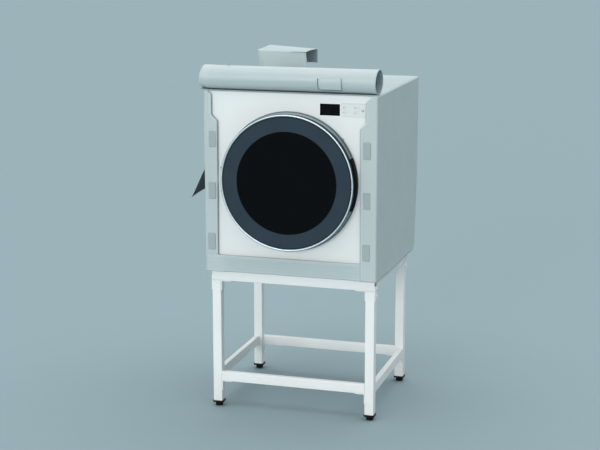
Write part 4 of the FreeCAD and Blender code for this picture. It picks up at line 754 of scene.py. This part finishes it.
def cover_lid():
    """Flat top of the cover, sewn inside the turned-in edge and slack behind the cabinet.

    It has the pipe's hole: points round it are moved onto its circle.
    """
    hole, hole_radius = np.array([-197 * MM, 348 * MM]), 44 * MM
    slack_start, slack_run, slack_off, slack_depth, uneven = 0.30, 0.04, 0.05, 3.5 * MM, 0.3 * MM
    under_edge, under_front, above, wider_waves = 1 * MM, 2 * MM, 0.5 * MM, 0.8
    edge = sizes().top_round - under_edge
    x = np.linspace(-COVER_HALF + edge, COVER_HALF - edge, 83)
    y = np.linspace(COVER_FRONT + under_front, COVER_BACK - edge, 87)
    spots = places(*np.meshgrid(x, y))
    away = np.linalg.norm(spots - hole, axis=-1)
    middle = np.linalg.norm((spots[:-1, :-1] + spots[1:, 1:]) / 2 - hole, axis=-1)
    faces = grid_faces(spots)
    gone = middle.reshape(-1) < hole_radius
    rim = np.intersect1d(faces[gone], faces[~gone])
    flat = spots.reshape(-1, 2)
    flat[rim] = hole + (flat[rim] - hole) * hole_radius / away.reshape(-1)[rim, None]
    across, deep = spots[..., 0], spots[..., 1]
    border = least(across - x[0], x[-1] - across, y[-1] - deep)
    facts = cloth_facts(np.minimum(border, deep - y[0]), across + deep, hem=12 * MM, inset=5 * MM)
    slack = ease((deep - slack_start) / slack_run) * ease(border / slack_off) * ease(away / slack_off - 1)
    dip = slack_depth * slack + uneven * (1 - swell(across * wider_waves, deep)) / 2
    points = places(across, deep, COVER_TOP + above - dip)
    made = put_cloth("cover_lid", points, faces[~gone], spots, facts)
    return made, float(x[-1] - x[0]), float(y[-1] - y[0])


def roll_surface(turn, across):
    """Radius of the rolled flap at an angle from its lowest line: a spiral that shrinks by a pitch a turn.

    Whole-number ripples round the roll and slow ones along it keep the turns from touching. The finest one
    is the row of long soft folds that rolled cloth shows.
    """
    ripple_depth, fold_count, fold_share, wander = 0.7 * MM, 11, 0.4, 0.9
    ripple = 0.5 * np.sin(2 * turn + 5 * across) + 0.35 * np.sin(3 * turn - 8 * across + 1.0)
    folds = fold_share * np.sin(fold_count * turn + wander * np.sin(6 * across))
    fading = 0.65 + 0.35 * np.sin(9 * across + 2.0)
    return ROLL_RADIUS - sizes().roll_pitch * turn / CIRCLE + ripple_depth * (ripple + folds * fading - 1.0)


def roll_short(turn):
    """How far a turn ends short of the outermost one."""
    step, outermost = 9 * MM, 0.75
    return step * np.maximum(turn / CIRCLE - outermost, 0)


def roll_end(turn):
    """Right end of the rolled flap at an angle: slanted a little, each turn shorter than the one outside."""
    right_in, slanted = 3 * MM, 7 * MM
    slant = slanted * (0.5 - 0.5 * np.sin(turn - 0.3))
    return high("cover_roll")[0] - right_in - slant - roll_short(turn)


def roll_binding():
    """Folded binding on the roll's right end: a soft tube carried round the outermost turn's cut edge."""
    thick, sunk, count = 1.8 * MM, 0.4 * MM, 11
    turn = np.linspace(0.1, CIRCLE - 0.15, 90)
    radius = roll_surface(turn, roll_end(turn)) - sunk
    path = places(roll_end(turn), ROLL_Y + radius * np.sin(turn), ROLL_Z - radius * np.cos(turn))
    points = tube(path, (1.0, 0.0, 0.0), places(0.0, np.sin(turn), -np.cos(turn)), thick, count)
    run = ROLL_RADIUS * turn[:, None]
    facts = cloth_facts(np.ones(points.shape[:2]), run)
    uv = places(run, thick * np.linspace(0, CIRCLE, count))
    return put_mesh("roll_binding", points, grid_faces(points)[:, ::-1], uv, facts)


def rolled_flap():
    """Front flap rolled up on the top edge: a tail from the front seam, then a spiral.

    Rows follow the cloth from the seam, columns run along the roll. The left end is drawn in at the top, so
    it slants, its underside is drawn up, and each turn ends a little short of the one outside it.
    """
    left_in, left_slant, slant_bend, drawn_up, drawn_along = 6 * MM, 15 * MM, 1.3, 7 * MM, 40 * MM
    left_hem, right_hem, puff, middle_column = 40 * MM, 12 * MM, 0.5 * MM, 30
    seam_y, seam_z = COVER_FRONT + 3 * MM, COVER_TOP + 1.8 * MM
    tail = steps(8)[:, None]
    rows = len(tail)
    spiral = np.linspace(0, sizes().roll_turns * CIRCLE, 210)[:, None]
    turn = np.concatenate([0 * tail, spiral])
    left = low("cover_roll")[0] + left_in
    start = left + left_slant * (0.5 - 0.5 * np.cos(turn)) ** slant_bend + roll_short(turn)
    stop = roll_end(turn)
    across = start + stretches((0, 0.1, 12), (0.1, 0.95, 50), (0.95, 1, 6)) * (stop - start)
    radius = roll_surface(turn, across)
    end_share = 1 - ease((across - start) / drawn_along)
    y = ROLL_Y + radius * np.sin(turn)
    z = ROLL_Z - radius * np.cos(turn) + drawn_up * end_share * (0.5 + 0.5 * np.cos(turn))
    y[:rows] = seam_y + tail * (y[rows] - seam_y)
    z[:rows] = seam_z + tail * (z[rows] - seam_z)
    run = lengths(y[:, middle_column], z[:, middle_column])[:, None]
    free = least(across - start, (stop - across) * left_hem / right_hem, run[-1] - run)
    facts = cloth_facts(free, run, hem=left_hem, inset=left_hem - 3 * MM)
    lift = puff * facts["doubled"] * (turn < CIRCLE)
    points = places(across, y + lift * np.sin(turn), z - lift * np.cos(turn))
    made = put_cloth("rolled_flap", points, grid_faces(points)[:, ::-1], places(across, run), facts)
    return made, float(stop[0, 0]) - left, float(run[-1, 0])


def on_roll(reach, level):
    """Depth of the roll's front at a level, for a distance from its axis."""
    return ROLL_Y - np.sqrt(reach ** 2 - (level - ROLL_Z) ** 2)


def roll_patch():
    """Sewn patch on the roll's front: it follows the roll and lifts a little along its left and lower edges.

    The left edge is rounded into the lower one by a quarter circle.
    """
    thick, edge_lift, lift_width, off_roll = 1.2 * MM, 1.2 * MM, 14 * MM, 0.6 * MM
    left, right, bottom, top, corner = PATCH
    z = np.linspace(bottom, top, 25)[:, None]
    below = np.clip(corner - (z - bottom), 0, corner)
    start = left + corner - np.sqrt(corner ** 2 - below ** 2)
    across = start + np.linspace(0, 1, 35) * (right - start)
    from_left, from_low = across - start, z - bottom
    lift = thick + edge_lift * (1 - ease(np.minimum(from_left, from_low) / lift_width))
    points = places(across, on_roll(ROLL_RADIUS + off_roll + lift, z), z)
    free = least(from_left, right - across, from_low, top - z)
    facts = cloth_facts(free, across + z, hem=6 * MM, inset=4 * MM)
    made = put_mesh("roll_patch", points, None, places(across, z), facts)
    thicken(made, thick)
    return made, right - left, top - bottom


def patch_shadow_welt():
    """Welt along the patch's left and lower edges, its dark colour a painted shadow gap: a thin tube that
    follows them round the corner.
    """
    thick, reach, below_top = 1.5 * MM, ROLL_RADIUS + 2.2 * MM, 4 * MM
    down, along = 16, 24
    left, right, bottom, top, corner = PATCH
    turn = np.linspace(0, QUARTER, 9)[1:-1]
    x = np.concatenate([np.full(down, left), left + corner * (1 - np.cos(turn)),
                        np.linspace(left + corner, right, along)])
    z = np.concatenate([np.linspace(top - below_top, bottom + corner, down),
                        bottom + corner * (1 - np.sin(turn)), np.full(along, bottom)])
    path = places(x, on_roll(reach, z), z)
    ahead = np.gradient(path, axis=0)
    ahead /= np.linalg.norm(ahead, axis=1)[:, None]
    out = (path - [0, ROLL_Y, ROLL_Z]) * [0, 1, 1] / reach
    points = tube(path, out, np.cross(ahead, out), thick, 9)
    return put_mesh("patch_shadow_welt", points, grid_faces(points)[:, ::-1])


def roll_tab():
    """Small tape loop on the roll's top: a narrow upright hairpin, carried along its width."""
    centre, depth, width, rise, gap = -238 * MM, -281 * MM, 10 * MM, 13 * MM, 0.5 * MM
    sunk, leaning, leg, tape = 2 * MM, 1.5 * MM, 6, 0.8 * MM
    base = ROLL_Z + math.sqrt(ROLL_RADIUS ** 2 - (depth - ROLL_Y) ** 2) - sunk
    bend = np.linspace(0, math.pi, 9)
    x = centre + np.concatenate([np.full(leg, -gap), -gap * np.cos(bend), np.full(leg, gap)])
    up_leg = rise * steps(leg)
    z = np.concatenate([up_leg, rise + gap * np.sin(bend), up_leg[::-1]])[:, None]
    deep = np.linspace(depth - width / 2, depth + width / 2, 7)
    points = places(x[:, None] + leaning * (z / rise) ** 2, deep, base + z)
    run = np.linspace(0, 2 * rise, len(z))[:, None]
    free = least(deep - deep[0], deep[-1] - deep + 0 * run)
    facts = cloth_facts(free, run, hem=0.5 * MM, inset=2 * MM)
    made = put_mesh("roll_tab", points, None, places(deep, run), facts)
    thicken(made, tape, 0.0)
    return made, width, 2 * rise + math.pi * gap


def exhaust_hood():
    """Cloth hood over the exhaust pipe, open to the right.

    A profile of front wall, top and back wall with rounded folds is carried from left to right. Its left end
    turns in over a quarter circle onto the end wall. The front wall leans, bends along two slanting creases,
    and the top sags. The mouth is cut at a slant, so that the front wall is the shorter one.
    """
    lean, front_drop, top_fall, mouth_slant = 20 * MM, 6 * MM, 12 * MM, 9 * MM
    first_bend, first_place, first_slant = 16, 0.03, 0.2
    second_bend, second_place, second_slant, long_bend = 4, 0.36, 0.21, 1.5
    sag_depth, sag_bend, mouth_lift, lift_from, lift_run = 4 * MM, 0.7, 3 * MM, 0.7, 0.3
    drop_less, end_bow, end_in = 0.7, 3 * MM, 1.2 * MM
    fold, base, back_low, overlap, middle_row = 6 * MM, COVER_TOP + 0.9 * MM, 1273 * MM, 2 * MM, 20
    (left, front, _), (right, back, peak) = low("exhaust_hood"), high("exhaust_hood")
    turn = np.linspace(QUARTER, 0, 6)
    flange = np.concatenate([[2 * fold], fold * (1 - np.cos(turn)), np.zeros(40)])[:, None]
    rows = np.concatenate([[left], left + fold - fold * np.sin(turn),
                           np.linspace(left + fold, right, 41)[1:]])[:, None]
    part, share = in_parts(steps(24), steps(6), steps(26), steps(6), np.linspace(0, 1, 15))
    along = (rows - left) / (right - left)
    top = peak - top_fall * along - flange
    near, far = front + flange, back - flange
    sine, cosine = np.sin(share * QUARTER), np.cos(share * QUARTER)
    which = [part == number for number in range(5)]
    level = np.select(which, [
        base + share * (top - fold - base), top - fold + fold * sine, top + 0 * share,
        top - fold + fold * cosine, top - fold + share * (back_low - top + fold)])
    deep = np.select(which, [
        near + 0 * share, near + fold - fold * cosine, near + fold + share * (far - near - 2 * fold),
        far - fold + fold * sine, far + 0 * share])
    up = (level - base) / (top - base)
    first = np.maximum(first_place + first_slant * (1 - up) - along, 0)
    second = np.maximum(along - (second_place + second_slant * up), 0)
    bends = first_bend * first + second_bend * second + long_bend * along
    bent = sizes().crease * bends + lean * (1 - up)
    deep = deep + bent * np.select(which[:2], [1 + 0 * share, 1 - share], 0)
    cross = (deep - front) / (back - front)
    to_front = np.clip(1 - cross, 0, 1)
    sag = sag_depth * arch(cross) * arch(along) ** sag_bend
    lifted = mouth_lift * ease((along - lift_from) / lift_run) * arch(cross)
    drop = front_drop * (1 - drop_less * along) * to_front * np.where(part == 0, up, 1)
    level = level + np.where(np.isin(part, [1, 2, 3]), lifted - sag, 0) - np.where(part < 3, drop, 0)
    across = rows - mouth_slant * along * to_front
    girth = lengths(deep, level)
    facts = cloth_facts(least(girth, girth[:, -1:] - girth, right - across), across + girth)
    sleeve = places(across, deep, level)
    end_share = np.linspace(0, 1, 21)[:, None]
    end_fold = sizes().crease * first_bend * (first_place + first_slant * (1 - end_share))
    end_front = front + fold - overlap + end_fold + lean * (1 - end_share)
    end_y = end_front + np.linspace(0, 1, 25) * (back - fold + overlap - end_front)
    end_back = (back - end_y) / (back - front)
    end_top = peak - fold + overlap - front_drop * np.clip(end_back, 0, 1)
    end_z = base + end_share * (end_top - base)
    bow = end_bow * arch(1 - end_back) * arch(end_share)
    end_wall = places(left + end_in + bow, end_y, end_z)
    end_free = least(end_y - end_front, end_y.max() - end_y, end_z - base, end_z.max() - end_z)
    end_facts = cloth_facts(end_free, end_y + end_z)
    joined = {key: np.concatenate([facts[key].reshape(-1), end_facts[key].reshape(-1)]) for key in facts}
    uv = listed(places(across, girth), places(end_y, end_z))
    faces = grid_faces(sleeve, end_wall)[:, ::-1]
    made = put_cloth("exhaust_hood_cloth", listed(sleeve, end_wall), faces, uv, joined)
    wrap, wide, tall = float(girth[middle_row, -1]), right - left, peak - base
    return made, wrap, wide + tall, wrap * wide + (back - front) * tall


def side_flap():
    """Vent flap on the left: a sheet that loops round its hinge rod and hangs outwards, bowed a little.

    The profile is the loop's arc, then a line that leaves the straight by half a sine wave. The lower edge
    is cut in a shallow arch. A folded binding, a thin tube, runs down the front edge and along the lower
    one.
    """
    hinge_x, hinge_z = -335.3 * MM, 988 * MM
    hang, rod, loop_turn, lean = 207 * MM, 2.6 * MM, math.radians(200), math.radians(26)
    bow, arch_share, ripple_depth, ripple_from, edge_in = 1.5 * MM, 0.055, 0.8 * MM, 0.08, 0.5 * MM
    thick, count, bound_from, waves_deep, waves_down = 1.5 * MM, 10, 20, 24, 9
    front, back = low("side_flap")[1], high("side_flap")[1]
    loop = np.linspace(loop_turn, 0, 14)
    run = np.linspace(0, hang, 60)[1:]
    side = np.concatenate([rod * np.cos(loop) - rod, -bow * arch(run / hang)])[:, None]
    fall = np.concatenate([-rod * np.sin(loop), run])[:, None]
    deep = np.linspace(front + edge_in, back - edge_in, 56)
    waves = np.sin(deep * waves_deep + fall * waves_down)
    out = side - np.abs(ripple_depth * ease(fall / ripple_from) * waves)
    down = fall * (1 - arch_share * arch((deep - front) / (back - front)) * ease(fall / hang))
    x = hinge_x + out * math.cos(lean) - down * math.sin(lean)
    z = hinge_z + out * math.sin(lean) - down * math.cos(lean)
    facts = cloth_facts(least(deep - front, back - deep, hang - down), deep + down)
    points = places(x, deep, z)
    made = put_cloth("side_flap_cloth", points, None, places(deep, down), facts, 0.0)
    outward, downward = (math.cos(lean), 0, math.sin(lean)), (-math.sin(lean), 0, -math.cos(lean))
    upright_edge = tube(points[bound_from:, 0], outward, (0, 1, 0), thick, count)
    low_edge = tube(points[-1, ::-1], outward, downward, thick, count)
    joined = listed(upright_edge, low_edge)
    off_seam = cloth_facts(np.ones(len(joined)), joined[:, 2])
    faces = grid_faces(upright_edge, low_edge)[:, ::-1]
    binding = put_mesh("flap_binding", joined, faces, joined[:, 1:], off_seam)
    return made, binding, back - front, hang + rod * loop_turn


def hook_tapes():
    """Six patches of hook tape on the front strips, each a little cushion with thinned edges."""
    wide, tall, thick, edge_width, off_strip = 29 * MM, 63 * MM, 0.6 * MM, 1.5 * MM, 0.5 * MM
    corner_cut, corner_power, rim_share, over_waves, backing = 0.06, 8, 0.3, 0.4, 0.8 * MM
    left_right, left_up = np.array([4, 8, 11]) * MM, 9 * MM
    right_left, right_down = np.array([2, 2, 2]) * MM, np.array([-2, 0, 10]) * MM
    start, stop = low("hook_tapes"), high("hook_tapes")
    levels = np.linspace(start[2] + tall / 2, stop[2] - tall / 2, 3)
    u, v = np.meshgrid(np.linspace(-1, 1, 13), np.linspace(-1, 1, 25))
    corner = 1 - corner_cut * u ** corner_power * v ** corner_power
    dx, dz = u * wide / 2 * corner, v * tall / 2 * corner
    rim = np.minimum(wide / 2 - np.abs(dx), tall / 2 - np.abs(dz))
    cushion = thick * ease(rim_share + rim / edge_width)
    y = COVER_FRONT - off_strip - cushion - sizes().slack * over_waves
    centres = [*zip(start[0] + wide / 2 + left_right, levels + left_up),
               *zip(stop[0] - wide / 2 - right_left, levels - right_down)]
    patches = [places(x + dx, y, z + dz) for x, z in centres]
    made = put_mesh("hook_tape_patches", listed(*patches), grid_faces(*patches))
    thicken(made, backing)
    return made, wide, len(patches) * tall


# Turned rings


def radii(node):
    """Smallest and largest distance of a turned solid's points from the door's axis."""
    solid = np.array([vertex.co for vertex in frame["nodes"][node].data.vertices])
    radius = np.hypot(solid[:, 0], solid[:, 2] - DOOR_AXIS_Z)
    return float(radius.min()), float(radius.max())


def turned_ring(name, radius, deep, count):
    """Closed ring: a section, given as radius and depth, turned round the door's axis."""
    turn = np.linspace(0, CIRCLE, count, endpoint=False)[:, None]
    points = places(radius * np.cos(turn), deep, DOOR_AXIS_Z + radius * np.sin(turn))
    index = np.arange(count * len(radius)).reshape(count, len(radius))
    ahead, beside = np.roll(index, -1, 0), np.roll(index, -1, 1)
    faces = np.stack([index, beside, np.roll(ahead, -1, 1), ahead], -1).reshape(-1, 4)
    return put_mesh(name, points, faces)


def trim_ring():
    """Bright ring round the door glass: straight walls and a half-round front.

    The section climbs the outer wall, crosses the front on half an ellipse and goes down the inner wall.
    """
    crown, corner = 4.2 * MM, 0.3 * MM
    inner, outer = radii("door_trim_ring")
    front, back = low("door_trim_ring")[1], high("door_trim_ring")[1]
    arc = np.linspace(0, math.pi, 27)
    radius = np.concatenate([[outer - corner, outer, outer],
                             (inner + outer) / 2 + (outer - inner) / 2 * np.cos(arc),
                             [inner, inner, inner + corner]])
    wall = [back, back - corner, front + crown + corner]
    deep = np.concatenate([wall, front + crown * (1 - np.sin(arc)), wall[::-1]])
    return turned_ring("trim_ring_face", radius, deep, 360)


def felt_ring():
    """Felt seal between drum and collar: a soft-cornered section turned round the drum's axis."""
    square, play = 0.35, 0.1 * MM
    inner, outer = radii("drum_felt")
    inner, outer = inner + play, outer - play
    front, back = low("drum_felt")[1], high("drum_felt")[1]
    around = CIRCLE * steps(28)
    across, along = [np.sign(wave) * np.abs(wave) ** square for wave in (np.cos(around), np.sin(around))]
    radius = (inner + outer) / 2 + (outer - inner) / 2 * across
    return turned_ring("felt_seal", radius, (front + back) / 2 + (back - front) / 2 * along, 160)


# Print and trim on the control strip


def flat_mark(name, across, up, front, thick=INK):
    """Thin raised mark on an upright face: a grid of places across and up, pulled out by its thickness."""
    made = put_mesh(name, places(across, front, up))
    thicken(made, thick, 1.0)
    return made


def arrow_mark(name, x, z, size, way, front):
    """Small triangle: rows that narrow to a point, upwards or downwards as way is 1 or -1."""
    narrowing, below_middle, height = 0.97, 0.4, 0.8
    share = np.linspace(0, 1, 7)[::way, None]
    half = size * (1 - narrowing * share) / 2
    across = x + np.linspace(-1, 1, 9) * half
    return flat_mark(name, across, z + way * (share - below_middle) * size * height, front)


def bar_mark(name, x, z, wide, tall, front):
    """Short printed bar with rounded ends."""
    tip = 0.02
    side = np.linspace(-1, 1, 25) * wide / 2
    in_end = np.maximum(np.abs(side) - (wide - tall) / 2, 0) / (tall / 2)
    half = tall / 2 * np.sqrt(np.clip(1 - in_end ** 2, tip, 1))
    return flat_mark(name, x + side, z + np.linspace(-1, 1, 5)[:, None] * half, front)


def ring_mark(name, x, z, radius, width, front):
    """Printed ring, open at its top, with round-running rows."""
    start, stop = math.radians(125), math.radians(415)
    turn = np.linspace(start, stop, 41)
    reach = np.linspace(radius + width / 2, radius - width / 2, 4)[:, None]
    return flat_mark(name, x + reach * np.cos(turn), z + reach * np.sin(turn), front)


def frame_mark(name, bounds, width, front, thick):
    """Rectangular frame with flat faces: rings of four corners from its outer to its inner size."""
    rings, corners = 5, 4
    left, right, bottom, top = bounds
    inwards = np.linspace(0, 1, rings) * width
    across = [left + inwards, right - inwards, right - inwards, left + inwards]
    up = [bottom + inwards, bottom + inwards, top - inwards, top - inwards]
    points = places(np.transpose(across), front, np.transpose(up))
    index = np.arange(rings * corners).reshape(rings, corners)
    beside = np.roll(index, -1, 1)
    faces = np.stack([index[:-1], beside[:-1], beside[1:], index[1:]], -1).reshape(-1, 4)
    made = put_mesh(name, points, faces)
    made.data.polygons.foreach_set("use_smooth", np.zeros(len(faces), bool))
    thicken(made, thick, 1.0)
    return made


# Operators


class DRYER_OT_finishes(bpy.types.Operator):
    """Give every solid the finish of its material slot"""

    bl_idname = "dryer.finishes"
    bl_label = "Finishes of the Solids"

    def execute(self, context):
        FINISHES.update(finish_table())
        for name, solid in frame["nodes"].items():
            if SLOT_OF[name] not in FINISHES:
                raise RuntimeError("no finish for " + name)
            solid.data.materials.clear()
            solid.data.materials.append(FINISHES[SLOT_OF[name]])
        return {"FINISHED"}


class DRYER_OT_cover(bpy.types.Operator):
    """Sew the cover: band of walls and strips, skirt and top"""

    bl_idname = "dryer.cover"
    bl_label = "Weather Cover"

    def execute(self, context):
        band, length, height = cover_walls()
        dress(band, "cabinet", "cover_fabric", ("cover_left", "cover_right", "cover_back", "cover_front"))
        skirt, wide, tall = cover_skirt()
        dress(skirt, "cabinet", "cover_fabric")
        lid, wide, deep = cover_lid()
        dress(lid, "cabinet", "cover_fabric", ("cover_top",))
        return {"FINISHED"}


class DRYER_OT_roll(bpy.types.Operator):
    """Roll up the front flap and sew its patch and tab"""

    bl_idname = "dryer.roll"
    bl_label = "Rolled Flap"

    def execute(self, context):
        roll, wide, length = rolled_flap()
        dress(roll, "cabinet", "cover_fabric", ("cover_roll",))
        binding = dress(roll_binding(), "cabinet", "cover_fabric")
        patch, wide, tall = roll_patch()
        dress(patch, "cabinet", "cover_fabric")
        # The dark welt paints the shadow gap along the patch's left and lower edges
        dress(patch_shadow_welt(), "cabinet", "cover_fabric", finish="welt")
        tab, wide, length = roll_tab()
        dress(tab, "cabinet", "cover_fabric")
        return {"FINISHED"}


class DRYER_OT_hood(bpy.types.Operator):
    """Sew the hood over the exhaust pipe"""

    bl_idname = "dryer.hood"
    bl_label = "Exhaust Hood"

    def execute(self, context):
        hood, girth, length, area = exhaust_hood()
        dress(hood, "cabinet", "cover_fabric", ("exhaust_hood",))
        return {"FINISHED"}


class DRYER_OT_side_flap(bpy.types.Operator):
    """Hang the vent flap on the left wall"""

    bl_idname = "dryer.side_flap"
    bl_label = "Side Flap"

    def execute(self, context):
        flap, binding, wide, length = side_flap()
        # The flap's inner side is painted dark for the shade under it
        dress(flap, "flap", "cover_fabric", ("side_flap",), lining="flap_lining")
        dress(binding, "flap", "cover_fabric")
        return {"FINISHED"}


class DRYER_OT_tapes(bpy.types.Operator):
    """Sew the hook tapes on the front strips"""

    bl_idname = "dryer.tapes"
    bl_label = "Hook Tapes"

    def execute(self, context):
        tapes, wide, length = hook_tapes()
        dress(tapes, "cabinet", "tape_fabric", ("hook_tapes",))
        return {"FINISHED"}


class DRYER_OT_rings(bpy.types.Operator):
    """Turn the door's bright trim ring and the felt seal at the drum's mouth"""

    bl_idname = "dryer.rings"
    bl_label = "Trim Ring and Felt Seal"

    def execute(self, context):
        dress(trim_ring(), "door", "trim_chrome", ("door_trim_ring",))
        felt = felt_ring()
        dress(felt, "cabinet", "felt", ("drum_felt",))
        return {"FINISHED"}


class DRYER_OT_marks(bpy.types.Operator):
    """Print the key marks and frame the display"""

    bl_idname = "dryer.marks"
    bl_label = "Key Marks and Display Frame"

    def execute(self, context):
        left_set, rim, inset = 3 * MM, 3 * MM, 0.5 * MM
        arrow, ring, ring_width, bar, bar_width = 5 * MM, 3.3 * MM, 2.2 * MM, 8 * MM, 1.6 * MM
        face_left, face_wider, face_low, face_taller = 4 * MM, 1 * MM, 1.5 * MM, 2 * MM
        face_thick, rim_thick, line_wide, line_thick = 0.2 * MM, 0.4 * MM, 0.9 * MM, 0.1 * MM
        ways = {"key_up": 1, "key_down": -1}
        for name in ("key_up", "key_down", "key_course", "key_start", "key_power"):
            start, stop = low(name), high(name)
            x, z = (start[0] + stop[0]) / 2 - left_set, (start[2] + stop[2]) / 2
            front = start[1] - SKIN
            if name in ways:
                mark = arrow_mark(name + "_arrow", x, z, arrow, ways[name], front)
            elif name == "key_power":
                mark = ring_mark(name + "_ring", x, z, ring, ring_width, front)
            else:
                mark = bar_mark(name + "_bar", x, z, bar, bar_width, front)
            dress(mark, name, "key_plastic", finish="ink")
        start, stop = low("display_window"), high("display_window")
        front = start[1] - SKIN
        # Narrow rows at the edges keep the smooth shading flat between them
        edged = np.array([0.0, 0.006, 0.5, 0.994, 1.0])
        face_x = start[0] - face_left + edged * (stop[0] - start[0] + face_wider)
        face_z = start[2] - face_low + edged * (stop[2] - start[2] + face_taller)
        face = flat_mark("display_face", face_x, face_z[:, None], front, face_thick)
        dress(face, "cabinet", "display_plastic")
        bounds = (face_x[0] - rim, face_x[-1] + rim, face_z[0] - rim, face_z[-1] + rim)
        border = frame_mark("display_frame", bounds, rim, front, rim_thick)
        dress(border, "cabinet", "strip_plastic", finish="white_trim")
        start, stop = low("control_strip"), high("control_strip")
        bounds = (start[0] + inset, stop[0] - inset, start[2] + inset, stop[2] - inset)
        line = frame_mark("strip_line", bounds, line_wide, start[1] - SKIN, line_thick)
        dress(line, "cabinet", "strip_plastic", finish="pale_ink")
        return {"FINISHED"}


# Name of each lamp, the way towards it, its strength and its spread in degrees
LAMPS = (("front_light", (-0.12, -0.98, 0.055), 2.15, 34.0), ("top_light", (0.0, 0.3, 0.95), 2.2, 100.0),
         ("side_light", (-0.5, -0.6, 0.62), 0.25, 60.0))


class DRYER_OT_stage(bpy.types.Operator):
    """Set the pale floor, the soft lights and the camera"""

    bl_idname = "dryer.stage"
    bl_label = "Studio"

    def execute(self, context):
        scene, reach = context.scene, 90.0
        side = np.linspace(-reach, reach, 3)
        floor = put_mesh("studio_floor", places(side, side[:, None], 0.0))
        floor_paint = sprayed("studio_floor_paint", colours().floor, 0.9, 300.0, 0.02 * MM, 0.004, gloss=0.0)
        floor.data.materials.append(floor_paint)
        for name, towards, strength, spread in LAMPS:
            lamp = bpy.data.lights.new(name, "SUN")
            lamp.energy = strength
            lamp.angle = math.radians(spread)
            holder = bpy.data.objects.new(name, lamp)
            holder.rotation_euler = Vector(towards).to_track_quat("Z", "Y").to_euler()
            scene.collection.objects.link(holder)
        world = bpy.data.worlds.new("studio_air")
        world.use_nodes = True
        tree = world.node_tree
        air = tree.nodes["Background"]
        air.inputs["Color"].default_value = (0.93, 0.98, 1.0, 1)
        air.inputs["Strength"].default_value = 0.35
        far_floor = add(tree, "ShaderNodeBackground", {"Color": (*shown(0.612, 0.702, 0.729), 1)})
        ray = add(tree, "ShaderNodeLightPath").outputs
        seen = maths(tree, "MAXIMUM", ray["Is Camera Ray"], ray["Is Glossy Ray"])
        seen = maths(tree, "MAXIMUM", seen, ray["Is Transmission Ray"])
        both = add(tree, "ShaderNodeMixShader", {0: seen, 1: air.outputs[0], 2: far_floor.outputs[0]})
        tree.links.new(both.outputs[0], tree.nodes["World Output"].inputs["Surface"])
        scene.world = world
        scene.view_settings.view_transform = "Standard"
        camera = bpy.data.cameras.new("studio_camera")
        camera.lens = 88.38
        camera.sensor_width = 36.0
        camera.shift_x = -0.0012
        camera.shift_y = -0.03
        camera.clip_end = 300.0
        holder = bpy.data.objects.new("studio_camera", camera)
        holder.location = (1.5694, -5.3897, 1.8778)
        holder.rotation_euler = (math.radians(90 - 11.344), 0, math.radians(16.683))
        scene.collection.objects.link(holder)
        scene.camera = holder
        return {"FINISHED"}


OPERATORS = (DRYER_OT_finishes, DRYER_OT_cover, DRYER_OT_roll, DRYER_OT_hood, DRYER_OT_side_flap,
             DRYER_OT_tapes, DRYER_OT_rings, DRYER_OT_marks, DRYER_OT_stage)


class DRYER_PT_panel(bpy.types.Panel):
    """Sidebar list of the dryer's pieces"""

    bl_idname = "DRYER_PT_panel"
    bl_label = "Covered Dryer"
    bl_space_type = "VIEW_3D"
    bl_region_type = "UI"
    bl_category = "Dryer"

    def draw(self, context):
        for operator in OPERATORS:
            self.layout.operator(operator.bl_idname)


CLASSES = (CoverSizes, FinishColours, *OPERATORS, DRYER_PT_panel)


def register():
    """Register the classes and hang the settings on the scene."""
    for made in CLASSES:
        bpy.utils.register_class(made)
    bpy.types.Scene.dryer_cover = bpy.props.PointerProperty(type=CoverSizes)
    bpy.types.Scene.dryer_colours = bpy.props.PointerProperty(type=FinishColours)


def unregister():
    """Take the settings and the classes away again."""
    del bpy.types.Scene.dryer_colours
    del bpy.types.Scene.dryer_cover
    for made in reversed(CLASSES):
        bpy.utils.unregister_class(made)


def main():
    """Register, then make every piece in order."""
    register()
    bpy.ops.dryer.finishes()
    bpy.ops.dryer.cover()
    bpy.ops.dryer.roll()
    bpy.ops.dryer.hood()
    bpy.ops.dryer.side_flap()
    bpy.ops.dryer.tapes()
    bpy.ops.dryer.rings()
    bpy.ops.dryer.marks()
    bpy.ops.dryer.stage()


if __name__ == "__main__":
    main()
